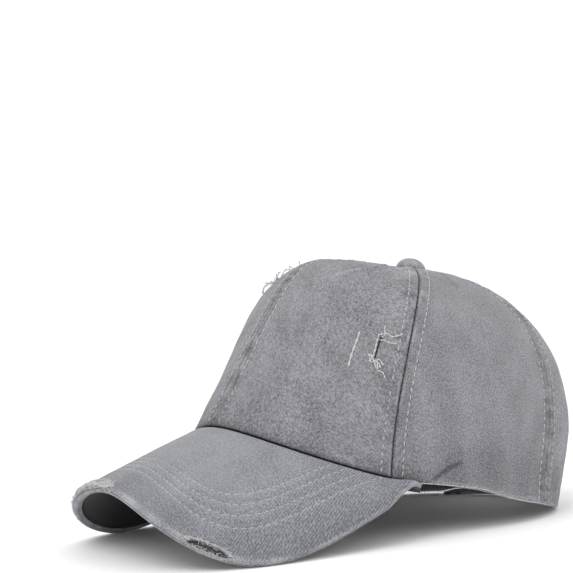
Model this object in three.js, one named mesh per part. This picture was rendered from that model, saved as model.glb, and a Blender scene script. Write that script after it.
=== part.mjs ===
// Ponytail baseball cap: six cloth panels, a curved brim, a button, and a back opening crossed by straps.
// Lengths are in millimetres and angles in degrees. +Z is up, the brim points to -Y and the
// wearer's left is +X. A place on the crown is given by its bearing round the head (0 at the front,
// growing toward the wearer's left) and its rise from the rim (0) to the button (1).
import * as THREE from 'three';

// The head opening, seen from above
const HEAD_FRONT = 113.6;      // from the centre to the front of the rim
const HEAD_BACK = 78.7;        // from the centre to the back of the rim
const HEAD_HALF = 83.9;        // half of the width
const HEAD_SQUARE = 2.25;      // 2 is an ellipse, a larger number is squarer

// The crown
const CROWN_HEIGHT = 130.8;    // from the lowest point of the rim to the button's foot
const BUTTON_BACK = 8.2;       // the button stands this far behind the centre
const FRONT_SEAM = 59.6;       // bearing of the seam between a front and a side panel
const BACK_SEAM = 113.1;       // bearing of the seam between a side and a back panel

// The crown's section at three bearings. rim is the height of the rim and rise the height of the
// upper handle above the button, both as shares of CROWN_HEIGHT; lean is the wall's slope inward;
// wall is the lower handle's length as a share of the height above the rim; top is the upper
// handle's length as a share of the rim's distance from the button.
const PROFILE = {
  front: { rim: 0.356, lean: 28.9, wall: 1.24, top: 0.67, rise: 0.008 },
  side: { rim: 0.117, lean: 14.5, wall: 0.136, top: 1.304, rise: -0.078 },
  back: { rim: 0, lean: -40.4, wall: 0.158, top: 1.428, rise: -0.198 },
};

// Soft folds of the cloth. bearing and rise place the middle, heading turns the fold from level,
// long and wide are its half sizes and deep is its height outward, all three as shares of HEAD_HALF.
const FOLDS = [
  { bearing: 76, rise: 0.09, heading: 55, long: 0.2, wide: 0.09, deep: -0.02 },
  { bearing: 67, rise: 0.16, heading: 62, long: 0.2, wide: 0.1, deep: 0.014 },
  { bearing: -150, rise: 0.52, heading: 35, long: 0.2, wide: 0.09, deep: -0.024 },
  { bearing: -142, rise: 0.45, heading: 25, long: 0.2, wide: 0.1, deep: 0.014 },
  { bearing: 77, rise: 0.8, heading: -55, long: 0.2, wide: 0.09, deep: -0.016 },
  { bearing: 22, rise: 0.7, heading: 8, long: 0.25, wide: 0.1, deep: -0.012 },
];

// Cloth
const CLOTH = 1.6;             // a panel with its turned seam allowance
const GAP = 0.3;               // clearance between two pieces
const LOOSE = 0.6;             // clearance of the pieces that lie loose under the panels
const FOLD_REACH = 14;         // pieces inside keep clear of the folds within this distance
const SEAM_ROLL = 2.2;         // the cloth rolls down to a seam over this width
const SEAM_DEEP = 0.7;         // and by this much

// The opening at the back: half of its width at heights above the lowest rim point,
// height as a share of CROWN_HEIGHT and half as a share of HEAD_HALF
const OPENING = [
  { height: -0.1, half: 0.466 },
  { height: 0.028, half: 0.47 },
  { height: 0.19, half: 0.476 },
  { height: 0.275, half: 0.472 },
  { height: 0.325, half: 0.44 },
  { height: 0.395, half: 0.417 },
  { height: 0.459, half: 0.398 },
  { height: 0.547, half: 0.36 },
  { height: 0.652, half: 0.3 },
  { height: 0.7225, half: 0.248 },
  { height: 0.798, half: 0.16 },
  { height: 0.849, half: 0.078 },
  { height: 0.888, half: 0 },
];

// Straps across the opening: low and high edges at the middle and how much each edge climbs
// toward the strap's ends, all as shares of CROWN_HEIGHT
const STRAPS = [
  { name: 'strap_upper', low: 0.712, lowClimb: 0.012, high: 0.776, highClimb: 0.03 },
  { name: 'strap_middle', low: 0.545, lowClimb: 0.002, high: 0.654, highClimb: 0.0 },
  { name: 'strap_lower', low: 0.334, lowClimb: -0.004, high: 0.455, highClimb: 0.002 },
];
const STRAP_THICK = 1.4;
const STRAP_TUCK = 9;          // a strap runs on behind the panel's edge by this much

// The closure at the rim: an outer strap laid over an inner tab
const CLOSURE_LOW = 0.026;     // lower edge at the back, share of CROWN_HEIGHT
const CLOSURE_WIDE = 20.5;
const CLOSURE_THICK = 1.6;
const OUTER_END = 35.5;        // the outer strap ends this far right of the middle
const TAB_END = 36.5;          // the tab ends this far left of the middle
const TAB_CLIMB = 4.2;         // and stands this much higher there

// Brim
const BRIM_REACH = 56.7;       // level distance from the front of the rim to the brim's front edge
const BRIM_HALF = 84.5;        // half of the brim's width
const BRIM_SIDE = 66.5;        // the rounded edge starts this far in front of the head's centre
const BRIM_FALL = 25;          // slope of the middle line
const BRIM_ARCH = 89.5;        // radius of the arch
const BRIM_STEEP = 59.4;       // the arch goes on straight from this slope
const BRIM_SQUARE = 3.45;      // 2 is an elliptic edge, a larger number is squarer
const BRIM_SPAN = 66.5;        // bearing of the brim's ends
const BRIM_TIP = 1.6;          // width left at the ends
const BRIM_ROUND = 0.9;        // share of the edge that is rounded, the rest runs back to the ends
const BRIM_EVEN = 0.93;        // past this share of the edge all layers keep one direction
const BRIM_STEPS = 34;         // facets across the brim
const BRIM_DROP = 0.7;         // the brim's upper face lies this far under the crown's edge
const BRIM_CLOTH = 1;
const BOARD_THICK = 1.6;
const LIP = 1.2;               // the cloth turns round the edge this far outside the board

// Inside
const BAND_WIDE = 30;
const BAND_THICK = 1.2;
const BAND_END = 144;          // bearing of the sweatband's ends
const TAPE_WIDE = 14;
const TAPE_THICK = 1;

// Button
const BUTTON_RADIUS = 8.2;
const BUTTON_TALL = 5;
const CROWN_HOLE = 4.4;        // the panels stop at this radius under the button

const rad = THREE.MathUtils.degToRad;
const deg = THREE.MathUtils.radToDeg;
const vec = (x, y, z) => new THREE.Vector3(x, y, z);

const materials = {
  washed: new THREE.MeshStandardMaterial({ name: 'washed_cotton', color: '#8f8f94', roughness: 0.95 }),
  brim: new THREE.MeshStandardMaterial({ name: 'brim_cotton', color: '#97979c', roughness: 0.95 }),
  dark: new THREE.MeshStandardMaterial({ name: 'dark_cotton', color: '#2b2b2e', roughness: 0.95 }),
  board: new THREE.MeshStandardMaterial({ name: 'brim_board', color: '#5a5b5e', roughness: 0.9 }),
};

// A value of the profile at a bearing: the side's value at 90 degrees, easing to front and back.
function mix(pick, bearing) {
  const c = Math.cos(rad(bearing));
  const end = c > 0 ? pick(PROFILE.front) : pick(PROFILE.back);
  return pick(PROFILE.side) * (1 - c * c) + end * c * c;
}

// A smooth value from the rows of a table, held level beyond its ends.
function read(rows, at, value, x) {
  const last = rows.length - 1;
  if (x <= rows[0][at]) return rows[0][value];
  if (x >= rows[last][at]) return rows[last][value];
  let k = 0;
  while (x > rows[k + 1][at]) k++;
  const slope = (i) => {
    const a = rows[Math.max(i - 1, 0)], b = rows[Math.min(i + 1, last)];
    return (b[value] - a[value]) / (b[at] - a[at]);
  };
  const p = rows[k], q = rows[k + 1], w = q[at] - p[at], s = (x - p[at]) / w;
  const turn = s * s * (3 - 2 * s);
  const bend = slope(k) * s * (1 - s) ** 2 - slope(k + 1) * s * s * (1 - s);
  return p[value] + (q[value] - p[value]) * turn + w * bend;
}

// The rim of the crown at a bearing.
function rim(bearing) {
  const c = Math.cos(rad(bearing)), s = Math.sin(rad(bearing));
  const k = (Math.abs(c) ** HEAD_SQUARE + Math.abs(s) ** HEAD_SQUARE) ** (-1 / HEAD_SQUARE);
  const depth = c > 0 ? HEAD_FRONT : HEAD_BACK;
  return vec(HEAD_HALF * s * k, -depth * c * k, mix((p) => p.rim, bearing) * CROWN_HEIGHT);
}

// The smooth crown: at each bearing a curve from the rim up to the button.
function shell(bearing, rise) {
  const foot = rim(bearing), top = vec(0, BUTTON_BACK, CROWN_HEIGHT);
  const out = vec(foot.x, foot.y, 0).normalize();
  const away = vec(Math.sin(rad(bearing)), -Math.cos(rad(bearing)), 0);
  const wall = mix((p) => p.wall, bearing) * (CROWN_HEIGHT - foot.z);
  const reach = mix((p) => p.top, bearing) * Math.hypot(foot.x, foot.y - BUTTON_BACK);
  const low = foot.clone().addScaledVector(vec(0, 0, 1), wall);
  low.addScaledVector(out, -wall * Math.tan(rad(mix((p) => p.lean, bearing))));
  const high = top.clone().addScaledVector(away, reach);
  high.z += mix((p) => p.rise, bearing) * CROWN_HEIGHT;
  const a = 1 - rise, b = rise;
  return vec(0, 0, 0).addScaledVector(foot, a ** 3).addScaledVector(low, 3 * a * a * b)
    .addScaledVector(high, 3 * a * b * b).addScaledVector(top, b ** 3);
}

// Steps of the crown for one degree of bearing and one whole rise.
function steps(bearing, rise) {
  const round = shell(bearing + 0.1, rise).sub(shell(bearing - 0.1, rise)).divideScalar(0.2);
  const up = shell(bearing, rise + 0.002).sub(shell(bearing, rise - 0.002)).divideScalar(0.004);
  return { round, up };
}

// Height of the soft folds at a place on the crown.
function folds(bearing, rise, round, up) {
  let height = 0;
  for (const f of FOLDS) {
    const turn = THREE.MathUtils.euclideanModulo(bearing - f.bearing + 180, 360) - 180;
    const x = turn * round.length() / HEAD_HALF;
    const y = (rise - f.rise) * up.length() / HEAD_HALF;
    const c = Math.cos(rad(f.heading)), s = Math.sin(rad(f.heading));
    const along = (x * c + y * s) / f.long, across = (y * c - x * s) / f.wide;
    height += f.deep * HEAD_HALF * Math.exp(-along * along - across * across);
  }
  return height;
}

// A point of the crown, moved outward from its outer face by a distance.
function crown(bearing, rise, outward) {
  const { round, up } = steps(bearing, rise);
  const normal = round.clone().cross(up).normalize();
  const lift = outward + folds(bearing, rise, round, up);
  return shell(bearing, rise).addScaledVector(normal, lift);
}

// A point under the crown's outer face that clears the folds round it, for the pieces inside.
function beneath(bearing, rise, depth) {
  const { round, up } = steps(bearing, rise);
  const reach = [-1, -0.6, -0.3, 0, 0.3, 0.6, 1].map((k) => k * FOLD_REACH);
  const dents = reach.flatMap((x) => reach.map((y) =>
    -folds(bearing + x / round.length(), rise + y / up.length(), round, up)));
  const normal = round.clone().cross(up).normalize();
  return shell(bearing, rise).addScaledVector(normal, -depth - Math.max(0, ...dents));
}

// Bearing that a length covers round the crown at a place.
const turnFor = (length, bearing, rise) => length / steps(bearing, rise).round.length();

// The first rise between two bounds where a growing test turns positive.
function solve(test, low, high) {
  for (let i = 0; i < 40; i++) {
    const mid = (low + high) / 2;
    if (test(mid) > 0) high = mid; else low = mid;
  }
  return (low + high) / 2;
}
const riseAt = (bearing, z) => solve((t) => shell(bearing, t).z - z, -0.12, 0.9);
function riseNear(bearing, radius) {
  return solve((t) => radius - Math.hypot(shell(bearing, t).x, shell(bearing, t).y - BUTTON_BACK), 0.5, 1);
}

// Bearing of the opening's left edge at a rise, 180 above the opening.
function openingEdge(rise) {
  const half = (z) => read(OPENING, 'height', 'half', z / CROWN_HEIGHT) * HEAD_HALF;
  if (half(shell(180, rise).z) <= 0) return 180;
  return solve((b) => half(shell(b, rise).z) - shell(b, rise).x, BACK_SEAM + 2, 180);
}

// A closed solid from two matching grids of points, rows of columns.
function solid(name, outer, inner, material) {
  const rows = outer.length, columns = outer[0].length, size = rows * columns, index = [];
  const at = (i, j, side) => side * size + i * columns + j;
  const quad = (a, b, c, d) => index.push(a, b, c, a, c, d);
  for (let i = 0; i < rows - 1; i++) {
    for (let j = 0; j < columns - 1; j++) {
      quad(at(i, j, 0), at(i + 1, j, 0), at(i + 1, j + 1, 0), at(i, j + 1, 0));
      quad(at(i, j, 1), at(i, j + 1, 1), at(i + 1, j + 1, 1), at(i + 1, j, 1));
    }
  }
  for (let i = 0; i < rows - 1; i++) {
    quad(at(i, 0, 0), at(i, 0, 1), at(i + 1, 0, 1), at(i + 1, 0, 0));
    const e = columns - 1;
    quad(at(i, e, 0), at(i + 1, e, 0), at(i + 1, e, 1), at(i, e, 1));
  }
  for (let j = 0; j < columns - 1; j++) {
    quad(at(0, j, 0), at(0, j + 1, 0), at(0, j + 1, 1), at(0, j, 1));
    const e = rows - 1;
    quad(at(e, j, 0), at(e, j, 1), at(e, j + 1, 1), at(e, j + 1, 0));
  }
  return mesh(name, [...outer.flat(), ...inner.flat()], index, material);
}

// A named mesh with its faces turned outward.
function mesh(name, points, index, material) {
  let volume = 0;
  for (let k = 0; k < index.length; k += 3) {
    const [a, b, c] = [points[index[k]], points[index[k + 1]], points[index[k + 2]]];
    volume += a.dot(b.clone().cross(c));
  }
  if (volume < 0) {
    for (let k = 0; k < index.length; k += 3) [index[k], index[k + 1]] = [index[k + 1], index[k]];
  }
  const geometry = new THREE.BufferGeometry();
  geometry.setAttribute('position', new THREE.Float32BufferAttribute(points.flatMap((p) => p.toArray()), 3));
  geometry.setIndex(index);
  geometry.computeVertexNormals();
  const piece = new THREE.Mesh(geometry, material);
  piece.name = name;
  return piece;
}

const share = (count) => Array.from({ length: count + 1 }, (_, k) => k / count);

// One crown panel between two edges, each a function of the rise. A seam edge rolls down to its
// seam; the opening's edge keeps its full height.
function panel(name, from, to, open, rowCount, columnCount) {
  const outer = [], inner = [];
  for (const v of share(rowCount)) {
    const top = riseNear((from(1) + to(1)) / 2, CROWN_HOLE);
    const rise = top * v;
    const a = from(rise), b = to(rise), side = Math.sign(b - a);
    const start = a + side * turnFor(GAP / 2, a, rise), end = b - side * turnFor(GAP / 2, b, rise);
    const roll = Math.min(turnFor(SEAM_ROLL, (a + b) / 2, rise), 0.3 * Math.abs(end - start));
    const places = [start, ...share(columnCount).map((u) => start + side * roll
      + (end - start - 2 * side * roll) * u), end];
    const drop = (k) => (k === 0 || (k === places.length - 1 && !open) ? -SEAM_DEEP : 0);
    outer.push(places.map((p, k) => crown(p, rise, drop(k))));
    inner.push(places.map((p) => crown(p, rise, -CLOTH)));
  }
  return solid(name, outer, inner, materials.washed);
}

function panels() {
  const group = new THREE.Group();
  group.name = 'crown';
  for (const [side, word] of [[1, 'left'], [-1, 'right']]) {
    const at = (bearing) => () => side * bearing;
    group.add(panel(`panel_front_${word}`, at(0), at(FRONT_SEAM), false, 13, 9));
    group.add(panel(`panel_side_${word}`, at(FRONT_SEAM), at(BACK_SEAM), false, 13, 8));
    const edge = (rise) => side * openingEdge(rise);
    group.add(panel(`panel_back_${word}`, at(BACK_SEAM), edge, true, 17, 7));
  }
  return group;
}

// The cloth covered button, a low dome that follows the crown under it.
function button() {
  const rings = [0.35, 0.65, 0.85, 0.96, 1], around = 24;
  const foot = (bearing, radius, lift) => {
    const p = shell(bearing, riseNear(bearing, radius));
    return vec(p.x, p.y, Math.max(p.z, CROWN_HEIGHT - 0.35 * radius) + GAP + lift);
  };
  const dome = (s) => BUTTON_TALL * (1 - s ** 2.6) ** 0.6 + 0.9;
  const points = [vec(0, BUTTON_BACK, CROWN_HEIGHT + GAP + dome(0))], index = [];
  for (const s of rings) {
    for (let k = 0; k < around; k++) {
      const bearing = (k * 360) / around - 180;
      points.push(foot(bearing, s * BUTTON_RADIUS, dome(s)));
    }
  }
  for (const s of [...rings].reverse()) {
    for (let k = 0; k < around; k++) {
      const bearing = (k * 360) / around - 180;
      points.push(foot(bearing, s * BUTTON_RADIUS, 0.1));
    }
  }
  points.push(vec(0, BUTTON_BACK, CROWN_HEIGHT + GAP + 0.1));
  const count = 2 * rings.length, end = points.length - 1;
  for (let k = 0; k < around; k++) {
    const next = (k + 1) % around;
    index.push(0, 1 + k, 1 + next);
    for (let r = 0; r < count - 1; r++) {
      const a = 1 + r * around + k, b = 1 + r * around + next;
      index.push(a, a + around, b + around, a, b + around, b);
    }
    const last = 1 + (count - 1) * around;
    index.push(last + k, end, last + next);
  }
  return mesh('button', points, index, materials.washed);
}

// Height of the brim's upper face over a place in plan.
function brimHeight(x, y) {
  const bend = BRIM_ARCH * Math.sin(rad(BRIM_STEEP));
  const arc = Math.min(Math.abs(x), bend), straight = Math.abs(x) - arc;
  const drop = BRIM_ARCH - Math.sqrt(BRIM_ARCH ** 2 - arc ** 2) + straight * Math.tan(rad(BRIM_STEEP));
  return PROFILE.front.rim * CROWN_HEIGHT + (y + HEAD_FRONT) * Math.tan(rad(BRIM_FALL)) - drop;
}

// A place of the brim's upper face: across runs from -1 to 1 and out from the crown (0) to the edge (1).
function brimFace(across, out) {
  const foot = rim(across * BRIM_SPAN), end = rim(BRIM_SPAN);
  const away = vec(foot.x, foot.y, 0).normalize().multiplyScalar(1.3 * GAP);
  const side = Math.sign(across), past = Math.max(Math.abs(across) - BRIM_ROUND, 0) / (1 - BRIM_ROUND);
  const turn = rad(90) * Math.min(Math.abs(across) / BRIM_ROUND, 1), power = 2 / BRIM_SQUARE;
  const edgeX = side * (BRIM_HALF * Math.sin(turn) ** power + past * (end.x + BRIM_TIP - BRIM_HALF));
  const edgeY = past * (end.y + BRIM_SIDE) - BRIM_SIDE
    - (HEAD_FRONT + BRIM_REACH - BRIM_SIDE) * Math.max(Math.cos(turn), 0) ** power;
  const x = (foot.x + away.x) * (1 - out) + edgeX * out;
  const y = (foot.y + away.y) * (1 - out) + edgeY * out;
  const settle = foot.z - BRIM_DROP - brimHeight(foot.x, foot.y) * (1 - past ** 2) - brimHeight(x, y) * past ** 2;
  return vec(x, y, brimHeight(x, y) + settle * (1 - (1 - (1 - out) ** 2) * (1 - past ** 2)));
}

// A point of the brim: below is the depth under its upper face, beyond the distance past its edge.
function brim(across, out, below, beyond) {
  const d = 0.002, u = THREE.MathUtils.clamp(across, -BRIM_EVEN, BRIM_EVEN), v = Math.min(out, 1 - d);
  const wide = brimFace(u + d, v).sub(brimFace(u - d, v));
  const long = brimFace(u, v + d).sub(brimFace(u, Math.max(v - d, 0)));
  const normal = long.clone().cross(wide).normalize();
  return brimFace(across, out).addScaledVector(normal, -below)
    .addScaledVector(long.normalize(), beyond);
}

// The lower turn of the brim's edge, as depth under the upper face and distance past the edge.
const BRIM_FULL = 2 * BRIM_CLOTH + BOARD_THICK + 2 * GAP;
const UNDER_EDGE = [[BRIM_FULL, 0], [0.825 * BRIM_FULL, 0.8 * LIP], [0.5 * (BRIM_FULL + GAP), LIP]];

// One brim layer from the two outlines of its section, each a list of [out, below, beyond].
function brimLayer(name, upper, lower, material) {
  const places = share(BRIM_STEPS).map((k) => 2 * k - 1);
  const line = (row) => places.map((u) => brim(u, ...row));
  return solid(name, upper.map(line), lower.map(line), material);
}

function brimPieces() {
  const group = new THREE.Group();
  group.name = 'brim';
  const board = BRIM_CLOTH + GAP, under = board + BOARD_THICK + GAP, full = BRIM_FULL, middle = full / 2;
  const flat = (below) => share(6).map((v) => [v, below, 0]);
  group.add(brimLayer('brim_top',
    [...flat(0), [1, 0.35 * middle, 0.8 * LIP], [1, middle - GAP / 2, LIP]],
    [...flat(BRIM_CLOTH), [1, BRIM_CLOTH + 0.05, 0.16 * LIP], [1, middle - GAP / 2, 0.28 * LIP]],
    materials.brim));
  group.add(brimLayer('brim_board', flat(board), flat(board + BOARD_THICK), materials.board));
  group.add(brimLayer('brim_under',
    [...flat(under), [1, under - 0.05, 0.16 * LIP], [1, middle + GAP / 2, 0.28 * LIP]],
    [...flat(full), ...UNDER_EDGE.slice(1).map((at) => [1, ...at])],
    materials.dark));
  return group;
}

// The rest line: the cap stands on the closure's lower edge and the two sides of the brim.
const restY = HEAD_BACK, restZ = CLOSURE_LOW * CROWN_HEIGHT;
const restSlope = Math.max(...share(BRIM_STEPS).flatMap((k) => UNDER_EDGE.map(([below, beyond]) => {
  const p = brim(2 * k - 1, 1, below, beyond);
  return (restZ - p.z) / (restY - p.y);
})));
const restHeight = (y) => restZ + (y - restY) * restSlope;

// The point on the rest plane at a depth under the crown's outer face.
function atRest(bearing, depth) {
  const above = (p) => p.z - restHeight(p.y);
  const p = beneath(bearing, solve((t) => above(beneath(bearing, t, depth)), -0.2, 0.3), depth);
  return vec(p.x, p.y, restHeight(p.y));
}

// A band that follows the crown between two bearings and two heights, each height a function of
// the bearing. depth gives its outer face under the crown's face at a bearing.
function band(name, from, to, low, high, depth, thick, count, rowCount, material, onFloor) {
  const rows = share(rowCount), outer = [], inner = [];
  for (const v of rows) {
    const line = (extra) => share(count).map((u) => {
      const b = from + (to - from) * u, z = low(b) + (high(b) - low(b)) * v;
      if (onFloor && v === 0) return atRest(b, depth(b) + extra);
      return beneath(b, riseAt(b, z), depth(b) + extra);
    });
    outer.push(line(0));
    inner.push(line(thick));
  }
  return solid(name, outer, inner, material);
}

function straps() {
  const group = new THREE.Group();
  group.name = 'opening_straps';
  for (const s of STRAPS) {
    const edge = openingEdge(riseAt(165, (s.low + s.high) / 2 * CROWN_HEIGHT));
    const rise = riseAt(edge, (s.low + s.high) / 2 * CROWN_HEIGHT);
    const end = edge - turnFor(STRAP_TUCK, edge, rise);
    const climb = (b) => ((b - 180) / (180 - end)) ** 2;
    const low = (b) => (s.low + s.lowClimb * climb(b)) * CROWN_HEIGHT;
    const high = (b) => (s.high + s.highClimb * climb(b)) * CROWN_HEIGHT;
    group.add(band(s.name, end, 360 - end, low, high, () => CLOTH + LOOSE, STRAP_THICK, 14,
      3, materials.washed, false));
  }
  return group;
}

// Bearing of the place on the back of the crown that lies a distance left of the middle.
function bearingLeft(x, z) {
  return solve((b) => x - shell(b, riseAt(b, z)).x, 100, 260);
}

function closure() {
  const group = new THREE.Group();
  group.name = 'closure';
  const low = restZ, middle = low + CLOSURE_WIDE / 2;
  const edge = openingEdge(riseAt(150, middle));
  const hidden = edge - turnFor(STRAP_TUCK, edge, riseAt(edge, middle));
  const outerEnd = bearingLeft(-OUTER_END, middle), tabEnd = bearingLeft(TAB_END, middle);
  const under = CLOTH + LOOSE, deep = under + CLOSURE_THICK + GAP;
  group.add(band('closure_strap', hidden, outerEnd, () => low, () => low + CLOSURE_WIDE, () => under,
    CLOSURE_THICK, 20, 4, materials.washed, true));
  const climb = (b) => TAB_CLIMB * Math.min(Math.max((outerEnd - b) / (outerEnd - tabEnd), 0), 1) ** 1.5;
  const ease = (b) => THREE.MathUtils.smoothstep(b, outerEnd + 3, 360 - hidden);
  group.add(band('closure_tab', tabEnd, 360 - hidden, (b) => low + 0.8 + climb(b),
    (b) => low + CLOSURE_WIDE - 0.8 + climb(b), (b) => deep + (under - deep) * ease(b),
    CLOSURE_THICK, 20, 4, materials.washed, false));
  return group;
}

function inside() {
  const group = new THREE.Group();
  group.name = 'inside';
  const foot = (b) => rim(b).z + 0.6;
  group.add(band('sweatband', -BAND_END, BAND_END, foot, (b) => foot(b) + BAND_WIDE,
    () => CLOTH + LOOSE, BAND_THICK, 48, 4, materials.dark, false));
  const tapes = { tape_front: 0, tape_front_left: FRONT_SEAM, tape_front_right: -FRONT_SEAM,
    tape_back_left: BACK_SEAM, tape_back_right: -BACK_SEAM };
  const widest = (Math.min(FRONT_SEAM, BACK_SEAM - FRONT_SEAM)) / 2 - 3;
  for (const [name, bearing] of Object.entries(tapes)) {
    const start = riseAt(bearing, foot(bearing) + BAND_WIDE + 4), end = riseNear(bearing, 7);
    const outer = [], inner = [];
    for (const v of share(14)) {
      const rise = start + (end - start) * v;
      const half = Math.min(turnFor(TAPE_WIDE / 2, bearing, rise), widest);
      const line = (depth) => share(4).map((u) => beneath(bearing + half * (2 * u - 1), rise, depth));
      outer.push(line(CLOTH + LOOSE));
      inner.push(line(CLOTH + LOOSE + TAPE_THICK));
    }
    group.add(solid(name, outer, inner, materials.dark));
  }
  return group;
}

// The whole cap, tipped back onto its rest line and set over the origin.
function build() {
  const cap = new THREE.Group();
  cap.name = 'cap';
  cap.add(panels(), button(), brimPieces(), inside(), straps(), closure());
  cap.rotation.x = -Math.atan(restSlope);
  const root = new THREE.Group();
  root.name = 'ponytail_cap';
  root.add(cap);
  root.updateMatrixWorld(true);
  const box = new THREE.Box3().setFromObject(root, true), middle = box.getCenter(vec(0, 0, 0));
  const floor = vec(0, restY, restZ).applyMatrix4(cap.matrixWorld).z;
  cap.position.set(-middle.x, -middle.y, -floor);
  root.updateMatrixWorld(true);
  console.log(`tipped back ${deg(Math.atan(restSlope)).toFixed(2)} degrees, size`,
    box.getSize(vec(0, 0, 0)).toArray().map((n) => n.toFixed(1)).join(' x '));
  return root;
}

export default build();
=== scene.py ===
# %% [markdown]
# # A washed ponytail baseball cap
# The real cap is sewn from six cotton twill panels, a stiffened brim and a few straps, then washed
# until the dye fades along the seams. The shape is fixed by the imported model. This lesson dresses it:
# every panel is woven, puckered and stitched as a sewer would leave it.

# %% Load the frame
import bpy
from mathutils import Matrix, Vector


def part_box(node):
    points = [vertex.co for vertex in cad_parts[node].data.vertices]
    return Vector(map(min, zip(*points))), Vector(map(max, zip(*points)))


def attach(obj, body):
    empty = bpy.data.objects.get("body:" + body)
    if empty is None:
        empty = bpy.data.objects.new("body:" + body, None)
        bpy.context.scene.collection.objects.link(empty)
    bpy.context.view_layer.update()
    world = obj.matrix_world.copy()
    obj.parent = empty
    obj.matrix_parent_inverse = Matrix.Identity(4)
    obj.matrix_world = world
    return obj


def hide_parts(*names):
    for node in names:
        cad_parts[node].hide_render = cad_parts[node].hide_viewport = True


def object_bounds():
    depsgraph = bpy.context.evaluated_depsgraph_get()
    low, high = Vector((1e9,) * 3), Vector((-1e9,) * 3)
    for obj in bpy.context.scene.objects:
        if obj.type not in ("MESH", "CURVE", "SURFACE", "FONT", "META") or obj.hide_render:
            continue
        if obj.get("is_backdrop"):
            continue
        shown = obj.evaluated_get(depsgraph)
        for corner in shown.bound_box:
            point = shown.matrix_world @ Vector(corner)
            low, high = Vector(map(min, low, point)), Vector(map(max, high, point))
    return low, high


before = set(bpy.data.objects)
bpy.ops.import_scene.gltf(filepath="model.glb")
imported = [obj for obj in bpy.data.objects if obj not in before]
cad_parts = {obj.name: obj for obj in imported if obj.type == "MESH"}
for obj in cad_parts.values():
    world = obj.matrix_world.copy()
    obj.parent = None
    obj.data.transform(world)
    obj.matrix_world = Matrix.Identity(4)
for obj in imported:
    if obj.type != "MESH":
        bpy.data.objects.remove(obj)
CAD_BOX = [list(corner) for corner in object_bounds()]

import math

import bpy
import numpy as np
from mathutils import Matrix, Vector

print("nodes to dress:", len(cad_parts))

# %% [markdown]
# ## The crown's form
# A cap crown is a dome cut into gores. One formula gives it: at each bearing round the head a curve
# climbs from the rim to the button. The same named sizes made the solids, so a point found here lies on
# them. Lengths are in metres, bearings in degrees from the front toward the wearer's left.

# %% Sizes of the crown
MM = 0.001
HEAD_FRONT, HEAD_BACK, HEAD_HALF = 113.6 * MM, 78.7 * MM, 83.9 * MM
HEAD_SQUARE = 2.25
CROWN_HEIGHT = 130.8 * MM
BUTTON_BACK = 8.2 * MM
FRONT_SEAM, BACK_SEAM = 59.6, 113.1

PROFILE = {
    "front": {"rim": 0.356, "lean": 28.9, "wall": 1.24, "top": 0.67, "rise": 0.008},
    "side": {"rim": 0.117, "lean": 14.5, "wall": 0.136, "top": 1.304, "rise": -0.078},
    "back": {"rim": 0.0, "lean": -40.4, "wall": 0.158, "top": 1.428, "rise": -0.198},
}
FOLDS = [
    {"bearing": 76, "rise": 0.09, "heading": 55, "long": 0.2, "wide": 0.09, "deep": -0.02},
    {"bearing": 67, "rise": 0.16, "heading": 62, "long": 0.2, "wide": 0.1, "deep": 0.014},
    {"bearing": -150, "rise": 0.52, "heading": 35, "long": 0.2, "wide": 0.09, "deep": -0.024},
    {"bearing": -142, "rise": 0.45, "heading": 25, "long": 0.2, "wide": 0.1, "deep": 0.014},
    {"bearing": 77, "rise": 0.8, "heading": -55, "long": 0.2, "wide": 0.09, "deep": -0.016},
    {"bearing": 22, "rise": 0.7, "heading": 8, "long": 0.25, "wide": 0.1, "deep": -0.012},
]
CLOTH, GAP, LOOSE = 1.6 * MM, 0.3 * MM, 0.6 * MM


# %% [markdown]
# ## The crown's curves
# Each curve is a cubic: it leaves the rim at a lean, and reaches the button nearly level. Folds are soft
# dents laid over it, which the solids have too.

# %% Curves of the crown
def mix(key, bearing):
    """A value of the profile: the side's at 90 degrees, easing to the front's and the back's."""
    c = np.cos(np.radians(bearing))
    end = np.where(c > 0, PROFILE["front"][key], PROFILE["back"][key])
    return PROFILE["side"][key] * (1 - c * c) + end * c * c


def point(x, y, z):
    return np.stack(np.broadcast_arrays(x, y, z), -1)


def unit(v):
    return v / np.maximum(np.linalg.norm(v, axis=-1, keepdims=True), 1e-12)


def rim(bearing):
    """The crown's lower edge."""
    c, s = np.cos(np.radians(bearing)), np.sin(np.radians(bearing))
    k = (np.abs(c) ** HEAD_SQUARE + np.abs(s) ** HEAD_SQUARE) ** (-1 / HEAD_SQUARE)
    depth = np.where(c > 0, HEAD_FRONT, HEAD_BACK)
    return point(HEAD_HALF * s * k, -depth * c * k, mix("rim", bearing) * CROWN_HEIGHT)


def shell(bearing, rise):
    """The smooth crown: rise runs from 0 at the rim to 1 at the button."""
    bearing, rise = np.broadcast_arrays(np.asarray(bearing, float), np.asarray(rise, float))
    foot, top = rim(bearing), np.array([0, BUTTON_BACK, CROWN_HEIGHT])
    out = unit(foot * [1, 1, 0])
    away = point(np.sin(np.radians(bearing)), -np.cos(np.radians(bearing)), 0)
    wall = mix("wall", bearing) * (CROWN_HEIGHT - foot[..., 2])
    reach = mix("top", bearing) * np.hypot(foot[..., 0], foot[..., 1] - BUTTON_BACK)
    low = foot + point(0, 0, wall) - out * (wall * np.tan(np.radians(mix("lean", bearing))))[..., None]
    high = top + away * reach[..., None] + point(0, 0, mix("rise", bearing) * CROWN_HEIGHT)
    a, b = (1 - rise)[..., None], rise[..., None]
    return foot * a ** 3 + low * (3 * a * a * b) + high * (3 * a * b * b) + top * b ** 3


def steps(bearing, rise):
    """How far the crown moves for one degree of bearing and for one whole rise."""
    turn = (shell(bearing + 0.1, rise) - shell(bearing - 0.1, rise)) / 0.2
    climb = (shell(bearing, rise + 0.002) - shell(bearing, rise - 0.002)) / 0.004
    return turn, climb


def length(v):
    return np.linalg.norm(v, axis=-1)


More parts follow.
